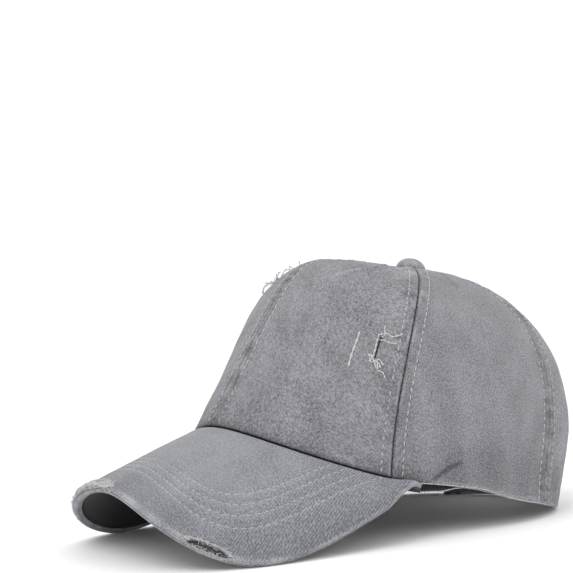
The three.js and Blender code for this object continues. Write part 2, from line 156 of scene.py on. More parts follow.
def folds(bearing, rise, turn, climb):
    """Height of the soft folds that a worn crown keeps."""
    height = 0
    for f in FOLDS:
        x = ((bearing - f["bearing"] + 180) % 360 - 180) * length(turn) / HEAD_HALF
        y = (rise - f["rise"]) * length(climb) / HEAD_HALF
        c, s = math.cos(math.radians(f["heading"])), math.sin(math.radians(f["heading"]))
        along, across = (x * c + y * s) / f["long"], (y * c - x * s) / f["wide"]
        height = height + f["deep"] * HEAD_HALF * np.exp(-along ** 2 - across ** 2)
    return height


def crown(bearing, rise, lift=0.0):
    """A point of the crown, moved outward from its outer face by lift."""
    bearing, rise = np.broadcast_arrays(np.asarray(bearing, float), np.asarray(rise, float))
    turn, climb = steps(bearing, rise)
    lifted = np.asarray(lift + folds(bearing, rise, turn, climb))
    return shell(bearing, rise) + unit(np.cross(turn, climb)) * lifted[..., None] + hang(bearing, rise)


print("crown height over the front rim:", round((CROWN_HEIGHT - rim(0.0)[2]) / MM, 1), "mm")


# %% [markdown]
# ## Finding places on the crown
# Sewing is measured along the cloth, so seams and stitch rows need real distances. A bisection finds
# where a growing test turns positive, and sums of small steps give the length along a line.

# %% Searches and lengths
def solve(test, low, high):
    """Where a growing test turns positive between two bounds, for whole arrays at once."""
    low, high = np.array(low, float), np.array(high, float)
    for _ in range(36):
        middle = (low + high) / 2
        over = test(middle) > 0
        low, high = np.where(over, low, middle), np.where(over, middle, high)
    return (low + high) / 2


def smooth(low, high, x):
    t = np.clip((x - low) / (high - low), 0, 1)
    return t * t * (3 - 2 * t)


def steady(value):
    """The same value at every place along a line."""
    return lambda at: value + 0 * at


def read(rows, at, value, x):
    """A smooth value from the rows of a table, held level beyond its ends."""
    xs, ys = np.array([r[at] for r in rows]), np.array([r[value] for r in rows])
    slopes = np.empty(len(xs))
    slopes[1:-1] = (ys[2:] - ys[:-2]) / (xs[2:] - xs[:-2])
    slopes[0], slopes[-1] = (ys[1] - ys[0]) / (xs[1] - xs[0]), (ys[-1] - ys[-2]) / (xs[-1] - xs[-2])
    x = np.clip(x, xs[0], xs[-1])
    k = np.clip(np.searchsorted(xs, x) - 1, 0, len(xs) - 2)
    wide = xs[k + 1] - xs[k]
    s = (x - xs[k]) / wide
    bend = slopes[k] * s * (1 - s) ** 2 - slopes[k + 1] * s * s * (1 - s)
    return ys[k] + (ys[k + 1] - ys[k]) * s * s * (3 - 2 * s) + wide * bend


def curve(places, count=40):
    """A smooth curve through a few rows of numbers."""
    places = np.array(places, float)
    at = np.concatenate([[0], np.cumsum(np.linalg.norm(np.diff(places, axis=0) * [1, 90], axis=1))])
    table = [{"at": a, **{str(k): v for k, v in enumerate(p)}} for a, p in zip(at, places)]
    t = np.linspace(0, at[-1], count)
    return np.stack([read(table, "at", str(k), t) for k in range(places.shape[1])], -1)


def rise_at(bearing, height):
    """The rise where the crown stands at a height."""
    bearing, height = np.broadcast_arrays(np.asarray(bearing, float), np.asarray(height, float))
    start = np.zeros(bearing.shape)
    return solve(lambda t: shell(bearing, t)[..., 2] - height, start - 0.12, start + 0.9)


def rise_near(bearing, radius):
    """The rise where the crown is this near to the button's axis."""
    def inside(t):
        p = shell(bearing, t)
        return radius - np.hypot(p[..., 0], p[..., 1] - BUTTON_BACK)
    return solve(inside, 0.5, 1.0)


def measure(line):
    """Length along a line of points, from its first."""
    return np.concatenate([[0], np.cumsum(length(np.diff(line, axis=0)))])


# %% Edge of the opening
OPENING = [  # height and half width, as shares of the crown's height and of the head's half width
    {"height": -0.1, "half": 0.466}, {"height": 0.028, "half": 0.47},
    {"height": 0.19, "half": 0.476}, {"height": 0.275, "half": 0.472},
    {"height": 0.325, "half": 0.44}, {"height": 0.395, "half": 0.417},
    {"height": 0.459, "half": 0.398}, {"height": 0.547, "half": 0.36},
    {"height": 0.652, "half": 0.3}, {"height": 0.7225, "half": 0.248},
    {"height": 0.798, "half": 0.16}, {"height": 0.849, "half": 0.078},
    {"height": 0.888, "half": 0.0},
]


def opening_half(height):
    return read(OPENING, "height", "half", height / CROWN_HEIGHT) * HEAD_HALF


def opening_edge(rise):
    """Bearing of the opening's left edge at a rise, 180 above the opening."""
    rise = np.asarray(rise, float)

    def past(b):
        p = shell(b, rise)
        return opening_half(p[..., 2]) - p[..., 0]
    edge = solve(past, np.full(rise.shape, BACK_SEAM + 2), np.full(rise.shape, 180.0))
    return np.where(opening_half(shell(180.0, rise)[..., 2]) <= 0, 180.0, edge)


print("opening is", round(2 * opening_half(np.array(0.3 * CROWN_HEIGHT)) / MM), "mm wide")

# %% [markdown]
# ## The brim's form
# A brim is a flat board bent into an arch, cut to a rounded outline and sewn to the crown's rim. So its
# height over the plan is an arch that goes on straight down its sides, with a small settling where it
# meets the rim.

# %% Sizes and curves of the brim
BRIM_REACH, BRIM_HALF, BRIM_SIDE = 56.7 * MM, 84.5 * MM, 66.5 * MM
BRIM_ARCH, BRIM_TIP, BRIM_DROP = 89.5 * MM, 1.6 * MM, 0.7 * MM
BRIM_FALL, BRIM_STEEP, BRIM_SPAN = 25, 59.4, 66.5
BRIM_SQUARE, BRIM_ROUND, BRIM_EVEN = 3.45, 0.9, 0.93
BRIM_CLOTH, BOARD_THICK, LIP = 1.0 * MM, 1.6 * MM, 1.2 * MM
BRIM_FULL = 2 * BRIM_CLOTH + BOARD_THICK + 2 * GAP
EDGE_MIDDLE = (BRIM_FULL - GAP) / 2   # depth at which the cloths meet at the edge
EDGE_FOLD = 3.2 * MM                  # length of the top cloth's turn round the edge
EDGE_LENGTH = 80 * MM                 # rough length of the edge from its middle to a corner


def brim_height(x, y):
    steep = math.radians(BRIM_STEEP)
    arc = np.minimum(np.abs(x), BRIM_ARCH * math.sin(steep))
    drop = BRIM_ARCH - np.sqrt(BRIM_ARCH ** 2 - arc ** 2) + (np.abs(x) - arc) * math.tan(steep)
    fall = (y + HEAD_FRONT) * math.tan(math.radians(BRIM_FALL))
    return PROFILE["front"]["rim"] * CROWN_HEIGHT + fall - drop


def brim_face(across, out):
    """Upper face: across runs from -1 to 1, out from the crown (0) to the edge (1)."""
    across, out = np.broadcast_arrays(np.asarray(across, float), np.asarray(out, float))
    foot, end = rim(across * BRIM_SPAN), rim(np.array(float(BRIM_SPAN)))
    foot = foot + unit(foot * [1, 1, 0]) * 1.3 * GAP * np.array([1, 1, 0])
    past = np.maximum(np.abs(across) - BRIM_ROUND, 0) / (1 - BRIM_ROUND)
    turn = np.radians(90) * np.minimum(np.abs(across) / BRIM_ROUND, 1)
    power = 2 / BRIM_SQUARE
    edge_x = np.sign(across) * (BRIM_HALF * np.sin(turn) ** power + past * (end[0] + BRIM_TIP - BRIM_HALF))
    deep = (HEAD_FRONT + BRIM_REACH - BRIM_SIDE) * np.maximum(np.cos(turn), 0) ** power
    edge_y = past * (end[1] + BRIM_SIDE) - BRIM_SIDE - deep
    x = foot[..., 0] * (1 - out) + edge_x * out
    y = foot[..., 1] * (1 - out) + edge_y * out
    at_foot = brim_height(foot[..., 0], foot[..., 1])
    settle = foot[..., 2] - BRIM_DROP - at_foot * (1 - past ** 2) - brim_height(x, y) * past ** 2
    ease = 1 - (1 - (1 - out) ** 2) * (1 - past ** 2)
    return point(x, y, brim_height(x, y) + settle * ease)


def brim(across, out, below=0.0, beyond=0.0):
    """A point of the brim: below is the depth under its face, beyond the distance past its edge."""
    across, out = np.broadcast_arrays(np.asarray(across, float), np.asarray(out, float))
    d, u, v = 0.002, np.clip(across, -BRIM_EVEN, BRIM_EVEN), np.minimum(out, 0.998)
    wide = brim_face(u + d, v) - brim_face(u - d, v)
    long = unit(brim_face(u, v + d) - brim_face(u, np.maximum(v - d, 0)))
    normal = unit(np.cross(long, wide))
    below, beyond = np.asarray(below), np.asarray(beyond)
    return brim_face(across, out) - normal * below[..., None] + long * beyond[..., None]


# %% [markdown]
# ## Standing on the table
# The cap stands on the closure at the back and on the two sides of its brim. Its form is worked out
# upright first, then tipped back on that line and moved to where the solids stand.

# %% Tip and shift
CLOSURE_LOW = 0.026 * CROWN_HEIGHT
UNDER_EDGE = [(BRIM_FULL, 0.0), (0.825 * BRIM_FULL, 0.8 * LIP), (0.5 * (BRIM_FULL + GAP), LIP)]


def rest_slope():
    places = np.linspace(-1, 1, 35)
    slopes = []
    for below, beyond in UNDER_EDGE:
        p = brim(places, 1.0, below, beyond)
        slopes.append(np.max((CLOSURE_LOW - p[:, 2]) / (HEAD_BACK - p[:, 1])))
    return max(slopes)


SLOPE = rest_slope()
TIP = Matrix.Rotation(-math.atan(SLOPE), 3, "X")


def tipped(points):
    return points @ np.array(TIP.transposed())


front_edge = tipped(brim(np.linspace(-0.2, 0.2, 41), 1.0, EDGE_MIDDLE, LIP))[:, 1].min()
floor = tipped(np.array([0, HEAD_BACK, CLOSURE_LOW]))[2]
SHIFT = np.array([0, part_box("brim_top")[0].y - front_edge, -floor])


def stand(points):
    """From the upright form to the row frame."""
    return tipped(points) + SHIFT


print("tipped back", round(math.degrees(math.atan(SLOPE)), 2), "degrees; shift", (SHIFT / MM).round(2))

# %% [markdown]
# ## Camera, floor and light
# A product shot: a pale sweep, even white light from all round, one large soft lamp above the brim and
# a weaker one behind. The camera looks from the wearer's left front, low, as the photo does.

# %% Camera
CAMERA_AT = Vector((0.5025, -0.3273, 0.0863))
VIEW_AZIMUTH, VIEW_ELEVATION, VIEW_ROLL = 56.26, -0.46, -3.45
FOCAL_PIXELS, IMAGE_PIXELS, SENSOR = 1145.1, 573, 36.0
AXIS_PIXEL = (343.0, 348.0)


def aim(azimuth, elevation, roll):
    a, e, r = (math.radians(x) for x in (azimuth, elevation, roll))
    back = Vector((math.sin(a) * math.cos(e), -math.cos(a) * math.cos(e), math.sin(e)))
    level = Vector((math.cos(a), math.sin(a), 0))
    up = back.cross(level)
    right = level * math.cos(r) + up * math.sin(r)
    return Matrix((right, back.cross(right), back)).transposed()


camera = bpy.data.objects.new("camera", bpy.data.cameras.new("camera"))
bpy.context.scene.collection.objects.link(camera)
camera.data.lens = SENSOR * FOCAL_PIXELS / IMAGE_PIXELS
camera.data.sensor_width = SENSOR
camera.data.shift_x = (IMAGE_PIXELS / 2 - AXIS_PIXEL[0]) / IMAGE_PIXELS
camera.data.shift_y = (AXIS_PIXEL[1] - IMAGE_PIXELS / 2) / IMAGE_PIXELS
camera.data.clip_start = 0.01
camera.matrix_world = Matrix.Translation(CAMERA_AT) @ aim(VIEW_AZIMUTH, VIEW_ELEVATION, VIEW_ROLL).to_4x4()
bpy.context.scene.camera = camera
print("lens", round(camera.data.lens, 1), "mm")


# %% [markdown]
# ## Materials
# A material is a small graph of nodes. One helper adds a node with its settings and links, so a material
# reads like a recipe. Colours are written as sRGB codes and turned linear in one place.

# %% Nodes and colours
def linear(code):
    """An sRGB hex colour as the linear values that a shader takes."""
    parts = [int(code[i:i + 2], 16) / 255 for i in (1, 3, 5)]
    return (*[c / 12.92 if c <= 0.04045 else ((c + 0.055) / 1.055) ** 2.4 for c in parts], 1.0)


def add(tree, kind, sockets=None, **settings):
    """Adds a node: settings are its properties, sockets its values or what is linked to them."""
    made = tree.nodes.new("ShaderNode" + kind)
    for key, value in settings.items():
        setattr(made, key, value)
    for key, value in (sockets or {}).items():
        if isinstance(value, bpy.types.NodeSocket):
            tree.links.new(value, made.inputs[key])
        else:
            made.inputs[key].default_value = value
    return made


def new_material(name):
    made = bpy.data.materials.new(name)
    made.use_nodes = True
    made.node_tree.nodes.clear()
    return made, made.node_tree


def between(tree, factor, dark, light):
    """A colour between two, by a factor."""
    return add(tree, "Mix", {"Factor": factor, 6: dark, 7: light}, data_type="RGBA").outputs[2]


def surface(tree, sockets):
    """Ends a material's graph with one surface."""
    made = add(tree, "BsdfPrincipled", sockets)
    add(tree, "OutputMaterial", {"Surface": made.outputs[0]})


def plain(name, code, roughness):
    made, tree = new_material(name)
    surface(tree, {"Base Color": linear(code), "Roughness": roughness})
    return made


# %% [markdown]
# ## Floor and light
# The floor is a white sheet far wider than the view, so no horizon shows, and the sky round it is an even
# white. Two large lamps give soft shadows, which is what lets cloth look soft.

# %% Floor and light
FLOOR_HALF, SKY_STRENGTH = 6.0, 1.06
LAMP_TARGET = Vector((0, 0, 0.06))
KEY_LIGHT = {"name": "key", "at": (0.3, -1.0, 1.7), "size": 1.2, "power": 10}
RIM_LIGHT = {"name": "side", "at": (1.6, 0.6, 0.9), "size": 1.0, "power": 3}


def lamp(name, at, size, power):
    made = bpy.data.objects.new(name, bpy.data.lights.new(name, "AREA"))
    made.data.size, made.data.energy = size, power
    made.location = at
    made.rotation_euler = (LAMP_TARGET - Vector(at)).to_track_quat("-Z", "Y").to_euler()
    bpy.context.scene.collection.objects.link(made)


corners = [(-FLOOR_HALF, -FLOOR_HALF, 0), (FLOOR_HALF, -FLOOR_HALF, 0),
           (FLOOR_HALF, FLOOR_HALF, 0), (-FLOOR_HALF, FLOOR_HALF, 0)]
ground = bpy.data.objects.new("floor", bpy.data.meshes.new("floor"))
ground.data.from_pydata(corners, [], [(0, 1, 2, 3)])
ground.data.materials.append(plain("pale floor", "#ffffff", 0.7))
bpy.context.scene.collection.objects.link(ground)
ground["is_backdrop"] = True

world = bpy.data.worlds.new("studio")
bpy.context.scene.world = world
world.use_nodes = True
world.node_tree.nodes["Background"].inputs["Color"].default_value = (1, 1, 1, 1)
world.node_tree.nodes["Background"].inputs["Strength"].default_value = SKY_STRENGTH
lamp(**KEY_LIGHT)
lamp(**RIM_LIGHT)
bpy.context.scene.view_settings.view_transform = "Standard"

# %% [markdown]
# ## Cotton twill
# The cloth is a garment-washed cotton twill. Its threads cross in steps, which the eye sees as fine
# slanting ribs; washing then clouds the dye, lightens what is raised and leaves upright streaks. So the
# colour is a sum of ribs, grain, clouds and streaks, and of the fading and painted shade that each piece
# carries in its mesh. Patterns are placed by lengths measured along the cloth, kept in the attribute
# "cloth".

# %% Twill
RIB = 0.9 * MM           # a real rib is about 0.5 mm, drawn as coarse as it needs to show
GRAIN, MOTTLE, CLOUD = 0.8 * MM, 3.4 * MM, 19 * MM
STREAK = (1.6 * MM, 12 * MM)
WAVE_PERIOD = math.pi / 10  # a wave texture at scale 1 repeats after this length
GRAIN_SHARE, MOTTLE_SHARE, CLOUD_SHARE = 1.8, 0.32, 0.45


def twill(name, dark, light, slant, ribs=0.25, streaks=0.22, worn=0.5, depth=0.12 * MM):
    """Woven cotton between two colours. slant is the ribs' angle from the upright."""
    made, tree = new_material(name)
    cloth = add(tree, "Attribute", attribute_name="cloth").outputs["Vector"]
    wear_and_shade = add(tree, "Attribute", attribute_name="wear_and_shade").outputs["Fac"]
    turned = add(tree, "Mapping", {"Vector": cloth, "Rotation": (0, 0, math.radians(slant))})
    rib = add(tree, "TexWave", {"Vector": turned.outputs[0], "Scale": WAVE_PERIOD / RIB, "Distortion": 2.2,
                                "Detail": 2.0, "Detail Scale": 2.5, "Detail Roughness": 0.6})
    grain = add(tree, "TexNoise", {"Vector": cloth, "Scale": 1 / GRAIN, "Detail": 2.0})
    mottle = add(tree, "TexNoise", {"Vector": cloth, "Scale": 1 / MOTTLE, "Detail": 3.0, "Roughness": 0.6})
    cloud = add(tree, "TexNoise", {"Vector": cloth, "Scale": 1 / CLOUD, "Detail": 4.0, "Roughness": 0.62})
    long = add(tree, "Mapping", {"Vector": cloth, "Scale": (1 / STREAK[0], 1 / STREAK[1], 40)})
    streak = add(tree, "TexNoise", {"Vector": long.outputs[0], "Scale": 1.0, "Detail": 3.0})
    shade = None
    for source, weight in ((rib, ribs), (grain, GRAIN_SHARE), (mottle, MOTTLE_SHARE),
                           (cloud, CLOUD_SHARE), (streak, streaks)):
        centred = add(tree, "Math", {0: source.outputs["Fac"], 1: 0.5}, operation="SUBTRACT")
        last = 0.5 if shade is None else shade
        shade = add(tree, "Math", {0: centred.outputs[0], 1: weight, 2: last},
                    operation="MULTIPLY_ADD").outputs[0]
    # The mesh's attribute, scaled by worn, pales or darkens the cloth: fading, and on the crown and brim
    # also painted shade.
    shade = add(tree, "Math", {0: wear_and_shade, 1: worn, 2: shade}, operation="MULTIPLY_ADD", use_clamp=True)
    colour = between(tree, shade.outputs[0], linear(dark), linear(light))
    height = add(tree, "Math", {0: rib.outputs["Fac"], 1: 0.6, 2: grain.outputs["Fac"]},
                 operation="MULTIPLY_ADD")
    bump = add(tree, "Bump", {"Height": height.outputs[0], "Distance": depth, "Strength": 0.7})
    surface(tree, {"Base Color": colour, "Normal": bump.outputs[0], "Roughness": 0.92,
                   "Specular IOR Level": 0.25, "Sheen Weight": 0.12, "Sheen Roughness": 0.5})
    return made


# %% The cloths of the cap
# Crown: twill dyed grey and tumbled when sewn, so its ribs are low and its shade is uneven.
crown_twill = twill("washed crown twill", "#55555a", "#9c9ca1", 12, ribs=0.16)
# Brim: the same cloth pulled over a board, so it is even and its ribs stay sharp.
brim_twill = twill("washed brim twill", "#5f6065", "#a2a3a8", -18, ribs=0.3, streaks=0.1)
# Straps: the crown's cloth, narrow and folded double, so the wash fades it a touch more.
strap_twill = twill("washed strap twill", "#57575c", "#9f9fa4", 12)
# Linings: close black cotton that the wash hardly fades.
dark_twill = twill("black cotton", "#1d1d1f", "#39393c", 28, ribs=0.4)
# Board: pressed fibre, so a torn edge shows a coarse grey.
board_felt = twill("brim interlining", "#3a3a3d", "#5a5a5d", 60, ribs=0.8)
print("cloths:", [m.name for m in (crown_twill, brim_twill, strap_twill, dark_twill, board_felt)])

# %% [markdown]
# ## Sheets of cloth
# A panel of cloth is a sheet with two faces and turned edges. Two matching grids of points make one
# closed body: the faces are the grids and walls join them wherever the cloth ends, at its outline or
# round a hole. Edges are rounded by letting the faces approach each other there.

# %% Sheet bodies
def sheet_faces(keep):
    """Quads of both faces of a sheet, and walls wherever a kept cell ends."""
    rows, columns = keep.shape
    i, j = np.nonzero(keep)
    at = lambda r, c, side: side * (rows + 1) * (columns + 1) + r * (columns + 1) + c
    quads = [np.stack([at(i, j, 0), at(i, j + 1, 0), at(i + 1, j + 1, 0), at(i + 1, j, 0)], -1),
             np.stack([at(i, j, 1), at(i + 1, j, 1), at(i + 1, j + 1, 1), at(i, j + 1, 1)], -1)]
    padded = np.pad(keep, 1)
    for di, dj, a, b in ((-1, 0, (0, 0), (0, 1)), (0, 1, (0, 1), (1, 1)),
                         (1, 0, (1, 1), (1, 0)), (0, -1, (1, 0), (0, 0))):
        r, c = np.nonzero(keep & ~padded[1 + di:1 + di + rows, 1 + dj:1 + dj + columns])
        p, q = (r + a[0], c + a[1]), (r + b[0], c + b[1])
        quads.append(np.stack([at(*q, 0), at(*p, 0), at(*p, 1), at(*q, 1)], -1))
    return np.concatenate(quads)


def piece(name, points, faces, material, nodes=(), cloth=None, wear_and_shade=None):
    """A finished piece in the row frame, riding on the cap's one body."""
    used, faces = np.unique(faces, return_inverse=True)
    faces = faces.reshape(-1, 4)
    mesh = bpy.data.meshes.new(name)
    mesh.from_pydata(stand(points[used]).tolist(), [], faces.tolist())
    mesh.shade_smooth()
    if cloth is not None:
        layer = mesh.attributes.new("cloth", "FLOAT_VECTOR", "POINT")
        layer.data.foreach_set("vector", cloth[used].astype(np.float32).ravel())
        layer = mesh.attributes.new("wear_and_shade", "FLOAT", "POINT")
        layer.data.foreach_set("value", wear_and_shade[used].astype(np.float32).ravel())
    mesh.materials.append(material)
    made = bpy.data.objects.new(name, mesh)
    bpy.context.scene.collection.objects.link(made)
    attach(made, "root")
    if nodes:
        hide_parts(*nodes)


def sheet(name, outer, inner, cloth, wear_and_shade, material, nodes, keep=None):
    """One closed body from two grids of points, with the cloth's lengths, fading and painted shade at each.
    """
    rows, columns = outer.shape[:2]
    keep = np.ones((rows - 1, columns - 1), bool) if keep is None else keep
    faces = sheet_faces(keep)
    points = np.concatenate([outer.reshape(-1, 3), inner.reshape(-1, 3)])
    r, c = rows // 2, columns // 2
    normal = np.cross(outer[r, c + 1] - outer[r, c], outer[r + 1, c] - outer[r, c])
    if np.dot(normal, outer[r, c] - inner[r, c]) < 0:
        faces = faces[:, ::-1]
    piece(name, points, faces, material, nodes,
          np.concatenate([cloth.reshape(-1, 3)] * 2), np.concatenate([wear_and_shade.ravel()] * 2))
    print(name, "quads", len(faces))


# %% Unevenness and turned edges
def ripple(x, y, wave, seed):
    """Smooth unevenness between about -1 and 1, from a few waves of one length."""
    draw = np.random.default_rng(seed)
    total = 0
    for _ in range(7):
        angle, phase = draw.uniform(0, 2 * math.pi, 2)
        k = 2 * math.pi / (wave * draw.uniform(0.75, 1.4))
        total = total + np.sin(k * (x * math.cos(angle) + y * math.sin(angle)) + phase)
    return total / 3.2


def rounding(distance, radius=0.7 * MM):
    """How far a face draws in toward the middle of the cloth near a turned edge."""
    near = 1 - np.clip(distance / radius, 0, 1)
    return radius * (1 - np.sqrt(np.maximum(1 - near ** 2, 0.0)))


# %% [markdown]
# ## Thread
# A row of stitches is one thread that dives in and out of the cloth, so what shows is a dash every few
# millimetres. Frayed yarns are thinner threads with a free end. Both are small tubes, worked out
# together in arrays and joined, because thousands of separate objects would be slow.

# %% Tubes and dashes
STITCH_PITCH = 3.6 * MM
THREAD = 0.27 * MM        # radius, a little over a real thread's so that it shows
FINE_THREAD, CLOSE_PITCH = 0.2 * MM, 3.0 * MM
THREAD_DEPTH = 0.22 * MM  # how deep a row is drawn into a strap
TUBE_SIDES = 6


def tubes(lines, ups, radii):
    """Closed tubes along many lines at once: lines and ups are (count, points, 3)."""
    count, steps_along = lines.shape[:2]
    ahead = unit(np.gradient(lines, axis=1))
    side = unit(np.cross(ahead, ups))
    up = np.cross(side, ahead)
    turn = np.arange(TUBE_SIDES) * 2 * math.pi / TUBE_SIDES
    radii = np.broadcast_to(radii, (count, steps_along))[..., None, None]
    ring = side[:, :, None] * np.cos(turn)[:, None] + up[:, :, None] * np.sin(turn)[:, None]
    points = (lines[:, :, None] + ring * radii).reshape(-1, 3)
    i, j = np.meshgrid(np.arange(steps_along - 1), np.arange(TUBE_SIDES), indexing="ij")
    i, j, k = i.ravel(), j.ravel(), (j.ravel() + 1) % TUBE_SIDES
    wall = np.stack([i * TUBE_SIDES + j, i * TUBE_SIDES + k, (i + 1) * TUBE_SIDES + k,
                     (i + 1) * TUBE_SIDES + j], -1)
    last = (steps_along - 1) * TUBE_SIDES
    caps = np.array([[3, 2, 1, 0], [5, 4, 3, 0], [last, last + 1, last + 2, last + 3],
                     [last, last + 3, last + 4, last + 5]])
    one = np.concatenate([wall, caps])
    faces = (one[None] + np.arange(count)[:, None, None] * steps_along * TUBE_SIDES).reshape(-1, 4)
    return points, faces


def thread_piece(name, bundles, material):
    """Joins bundles of (lines, ups, radii) into one piece."""
    points, faces, total = [], [], 0
    for bundle in bundles:
        p, f = tubes(*bundle)
        points.append(p)
        faces.append(f + total)
        total += len(p)
    piece(name, np.concatenate(points), np.concatenate(faces)[:, ::-1], material)
    print(name, "threads:", sum(len(b[0]) for b in bundles))


def along_line(line, values, at):
    """Values carried along a line, read at lengths from its start."""
    far = measure(line)
    return np.stack([np.interp(at, far, values[:, k]) for k in range(values.shape[1])], -1)


def dashes(face, seed, pitch=STITCH_PITCH, fill=0.72, thread=THREAD):
    """Stitches along a line on a face. face(lift) gives the line, lifted off the face by lift."""
    line = face(0.0)
    normal = unit(face(MM) - line)
    draw = np.random.default_rng(seed)
    count = max(int(measure(line)[-1] / pitch), 1)
    start = (np.arange(count) + 0.14) * pitch + draw.normal(0, 0.04 * pitch, count)
    t = np.linspace(0, 1, 5)
    at = start[:, None] + t * fill * pitch * draw.uniform(0.9, 1.1, (count, 1))
    lines, ups = along_line(line, line, at), unit(along_line(line, normal, at))
    side = unit(np.cross(np.gradient(lines, axis=1), ups))
    lines = lines + side * draw.normal(0, 0.12 * MM, (count, 1, 1)) * (1 - 2 * t)[:, None]
    lines = lines + ups * (thread * (1.4 * np.sin(math.pi * t) ** 0.7 - 0.45))[:, None]
    return lines, ups, thread * (0.6 + 0.4 * np.sin(math.pi * t))


# %% Threads
def cotton_thread(name, code):
    """Spun cotton thread: matt, a little fuzzy, uneven along its length."""
    made, tree = new_material(name)
    place = add(tree, "TexCoord").outputs["Object"]
    fuzz = add(tree, "TexNoise", {"Vector": place, "Scale": 1 / (0.6 * MM)})
    dark = tuple(0.62 * c for c in linear(code)[:3]) + (1.0,)
    colour = between(tree, fuzz.outputs["Fac"], dark, linear(code))
    bump = add(tree, "Bump", {"Height": fuzz.outputs["Fac"], "Distance": 0.05 * MM})
    surface(tree, {"Base Color": colour, "Normal": bump.outputs[0], "Roughness": 0.85, "Sheen Weight": 0.2})
    return made


# Stitching keeps its pale shade, greys where it rubs, and a broken yarn bleaches.
stitch_thread = cotton_thread("stitching thread", "#cacacd")
faded_thread = cotton_thread("faded thread", "#9f9fa3")
frayed_yarn = cotton_thread("bleached yarn", "#cbcbcb")

# %% [markdown]
# ## The crown's panels
# Neighbouring panels are sewn face to face, the allowances are pressed open under them and stitched
# down on both sides. After washing the seam is a thin dark valley, the double cloth beside it stands
# up and gathers along the stitches, and the dye wears off the gathers' tops.

# %% Relief beside a seam
STITCH_OFF = 5.2 * MM       # the stitch rows lie this far from the seam
SEAM_ZONE = 9.5 * MM
SEAM_WAVE, HEM_WAVE = 5.6 * MM, 6.0 * MM   # gathers along a seam and along the hem
ZONE_STEPS = np.array([0, 0.25, 0.5, 0.8, 1.2, 1.7, 2.3, 3.0, 3.7, 4.3, 4.8, 5.2, 5.6, 6.0, 6.4, 7.0, 7.7,
                       8.6, 9.5]) * MM / SEAM_ZONE
PANEL_MIDDLE = 62
PANEL_STEP = 1.15 * MM
CROWN_HOLE = 4.4 * MM
CROWN_CLIMB = 150 * MM      # length of a seam from the rim to the button


def hump(x, middle, half):
    return np.exp(-((x - middle) / half) ** 2)


def seam_gathers(distance, along, seed):
    """Waves of the cloth that the stitches draw together."""
    return ripple(along, distance * 0.35, SEAM_WAVE, seed)


def patches(along, wave, seed):
    """A value that comes and goes along a seam."""
    return ripple(along, 0 * along, wave, seed)


def seam_relief(distance, along, seed):
    """Height of the cloth beside a seam."""
    double = 0.42 * MM * (smooth(0.2 * MM, 1.5 * MM, distance) - smooth(6.0 * MM, 8.2 * MM, distance))
    gathers = seam_gathers(distance, along, seed) * hump(distance, 3.0 * MM, 2.4 * MM)
    valley = -0.7 * MM * hump(distance, 0, 0.6 * MM)
    return double + 0.24 * MM * gathers + valley - 0.4 * MM * hump(distance, STITCH_OFF, 0.8 * MM)


def seam_wear(distance, along, seed):
    """Fading beside a seam: pale where the gathers stand up, dark in the valleys."""
    window = hump(distance, 3.2 * MM, 3.2 * MM)
    rubbed = smooth(-0.6, 0.8, patches(along, 22 * MM, seed + 5))
    edge = 0.7 * hump(distance, 1.0 * MM, 0.5 * MM) * rubbed
    line = 0.9 + 0.5 * patches(along, 3.2 * MM, seed + 6)
    gathers = seam_gathers(distance, along, seed) * smooth(-0.7, 0.7, patches(along, 34 * MM, seed + 7))
    return (0.45 * gathers - 0.22) * window + edge - line * hump(distance, 0.1 * MM, 0.35 * MM)


# %% Relief of the opening's hem
HEM = 2.6 * MM            # the rolled edge of the opening


def hem_gathers(distance, along, seed):
    return ripple(along, distance * 0.3, HEM_WAVE, seed)


def hem_relief(distance, along, seed):
    """Height of the rolled hem beside the opening."""
    roll = 0.4 * MM * (1 - smooth(HEM - 0.4 * MM, HEM + 0.6 * MM, distance))
    gathers = hem_gathers(distance, along, seed) * hump(distance, 3.4 * MM, 3.0 * MM)
    return roll + 0.25 * MM * gathers - 0.3 * MM * hump(distance, HEM + 0.4 * MM, 0.6 * MM)


def hem_wear(distance, along, seed):
    """Fading of the hem: pale on its roll and on its gathers, dark where it is sewn down."""
    gathers = hem_gathers(distance, along, seed) * hump(distance, 3.8 * MM, 3.4 * MM)
    return 0.6 * gathers + 0.9 * hump(distance, 0.6 * MM, 0.9 * MM) - 0.4 * hump(distance, HEM, 0.5 * MM)


# %% [markdown]
# ## Lower edge and creases
# The sewn rim wanders a few millimetres from the drawn line, and handling leaves a few sharp creases.
# Both are short tables of judged sizes, a row for each place or crease.

# %% The crown's lower edge and its creases
CUT_EDGE = [  # how far the sewn edge lies above the drawn rim, in mm
    {"bearing": 66, "up": 0.0}, {"bearing": 71, "up": 1.3}, {"bearing": 76, "up": 1.8},
    {"bearing": 84, "up": 0.8}, {"bearing": 90, "up": -2.0}, {"bearing": 96, "up": -4.0},
    {"bearing": 106, "up": -5.5}, {"bearing": 130, "up": -5.5}, {"bearing": 152, "up": 0.0},
]
HANG_RISE = 0.22          # the crown is drawn down or up as far as this rise
# dark: how much a crease's valley is darkened as painted shade; below zero, how much paler a raised crease
# is where worn.
CREASES = [  # depth and width in mm, how dark, and places as (bearing, rise)
    {"deep": 1.1, "wide": 0.95, "dark": 0.8,
     "places": [(70.8, 0.03), (73.2, 0.072), (74.8, 0.103), (77.4, 0.133)]},
    {"deep": -0.8, "wide": 1.2, "dark": -0.6,
     "places": [(28.4, 0.527), (32.4, 0.63), (34.2, 0.703), (35.6, 0.84)]},
    {"deep": -0.7, "wide": 1.1, "dark": -0.6, "places": [(39.8, 0.709), (47.4, 0.823), (54.0, 0.88)]},
    {"deep": 0.5, "wide": 1.4, "dark": 0.25, "places": [(86.0, 0.9), (81.6, 0.85), (82.0, 0.806)]},
    {"deep": 0.8, "wide": 1.8, "dark": 0.4,
     "places": [(-146.2, 0.535), (-151.5, 0.51), (-154.4, 0.48), (-158.2, 0.5)]},
]
print("creases:", len(CREASES))


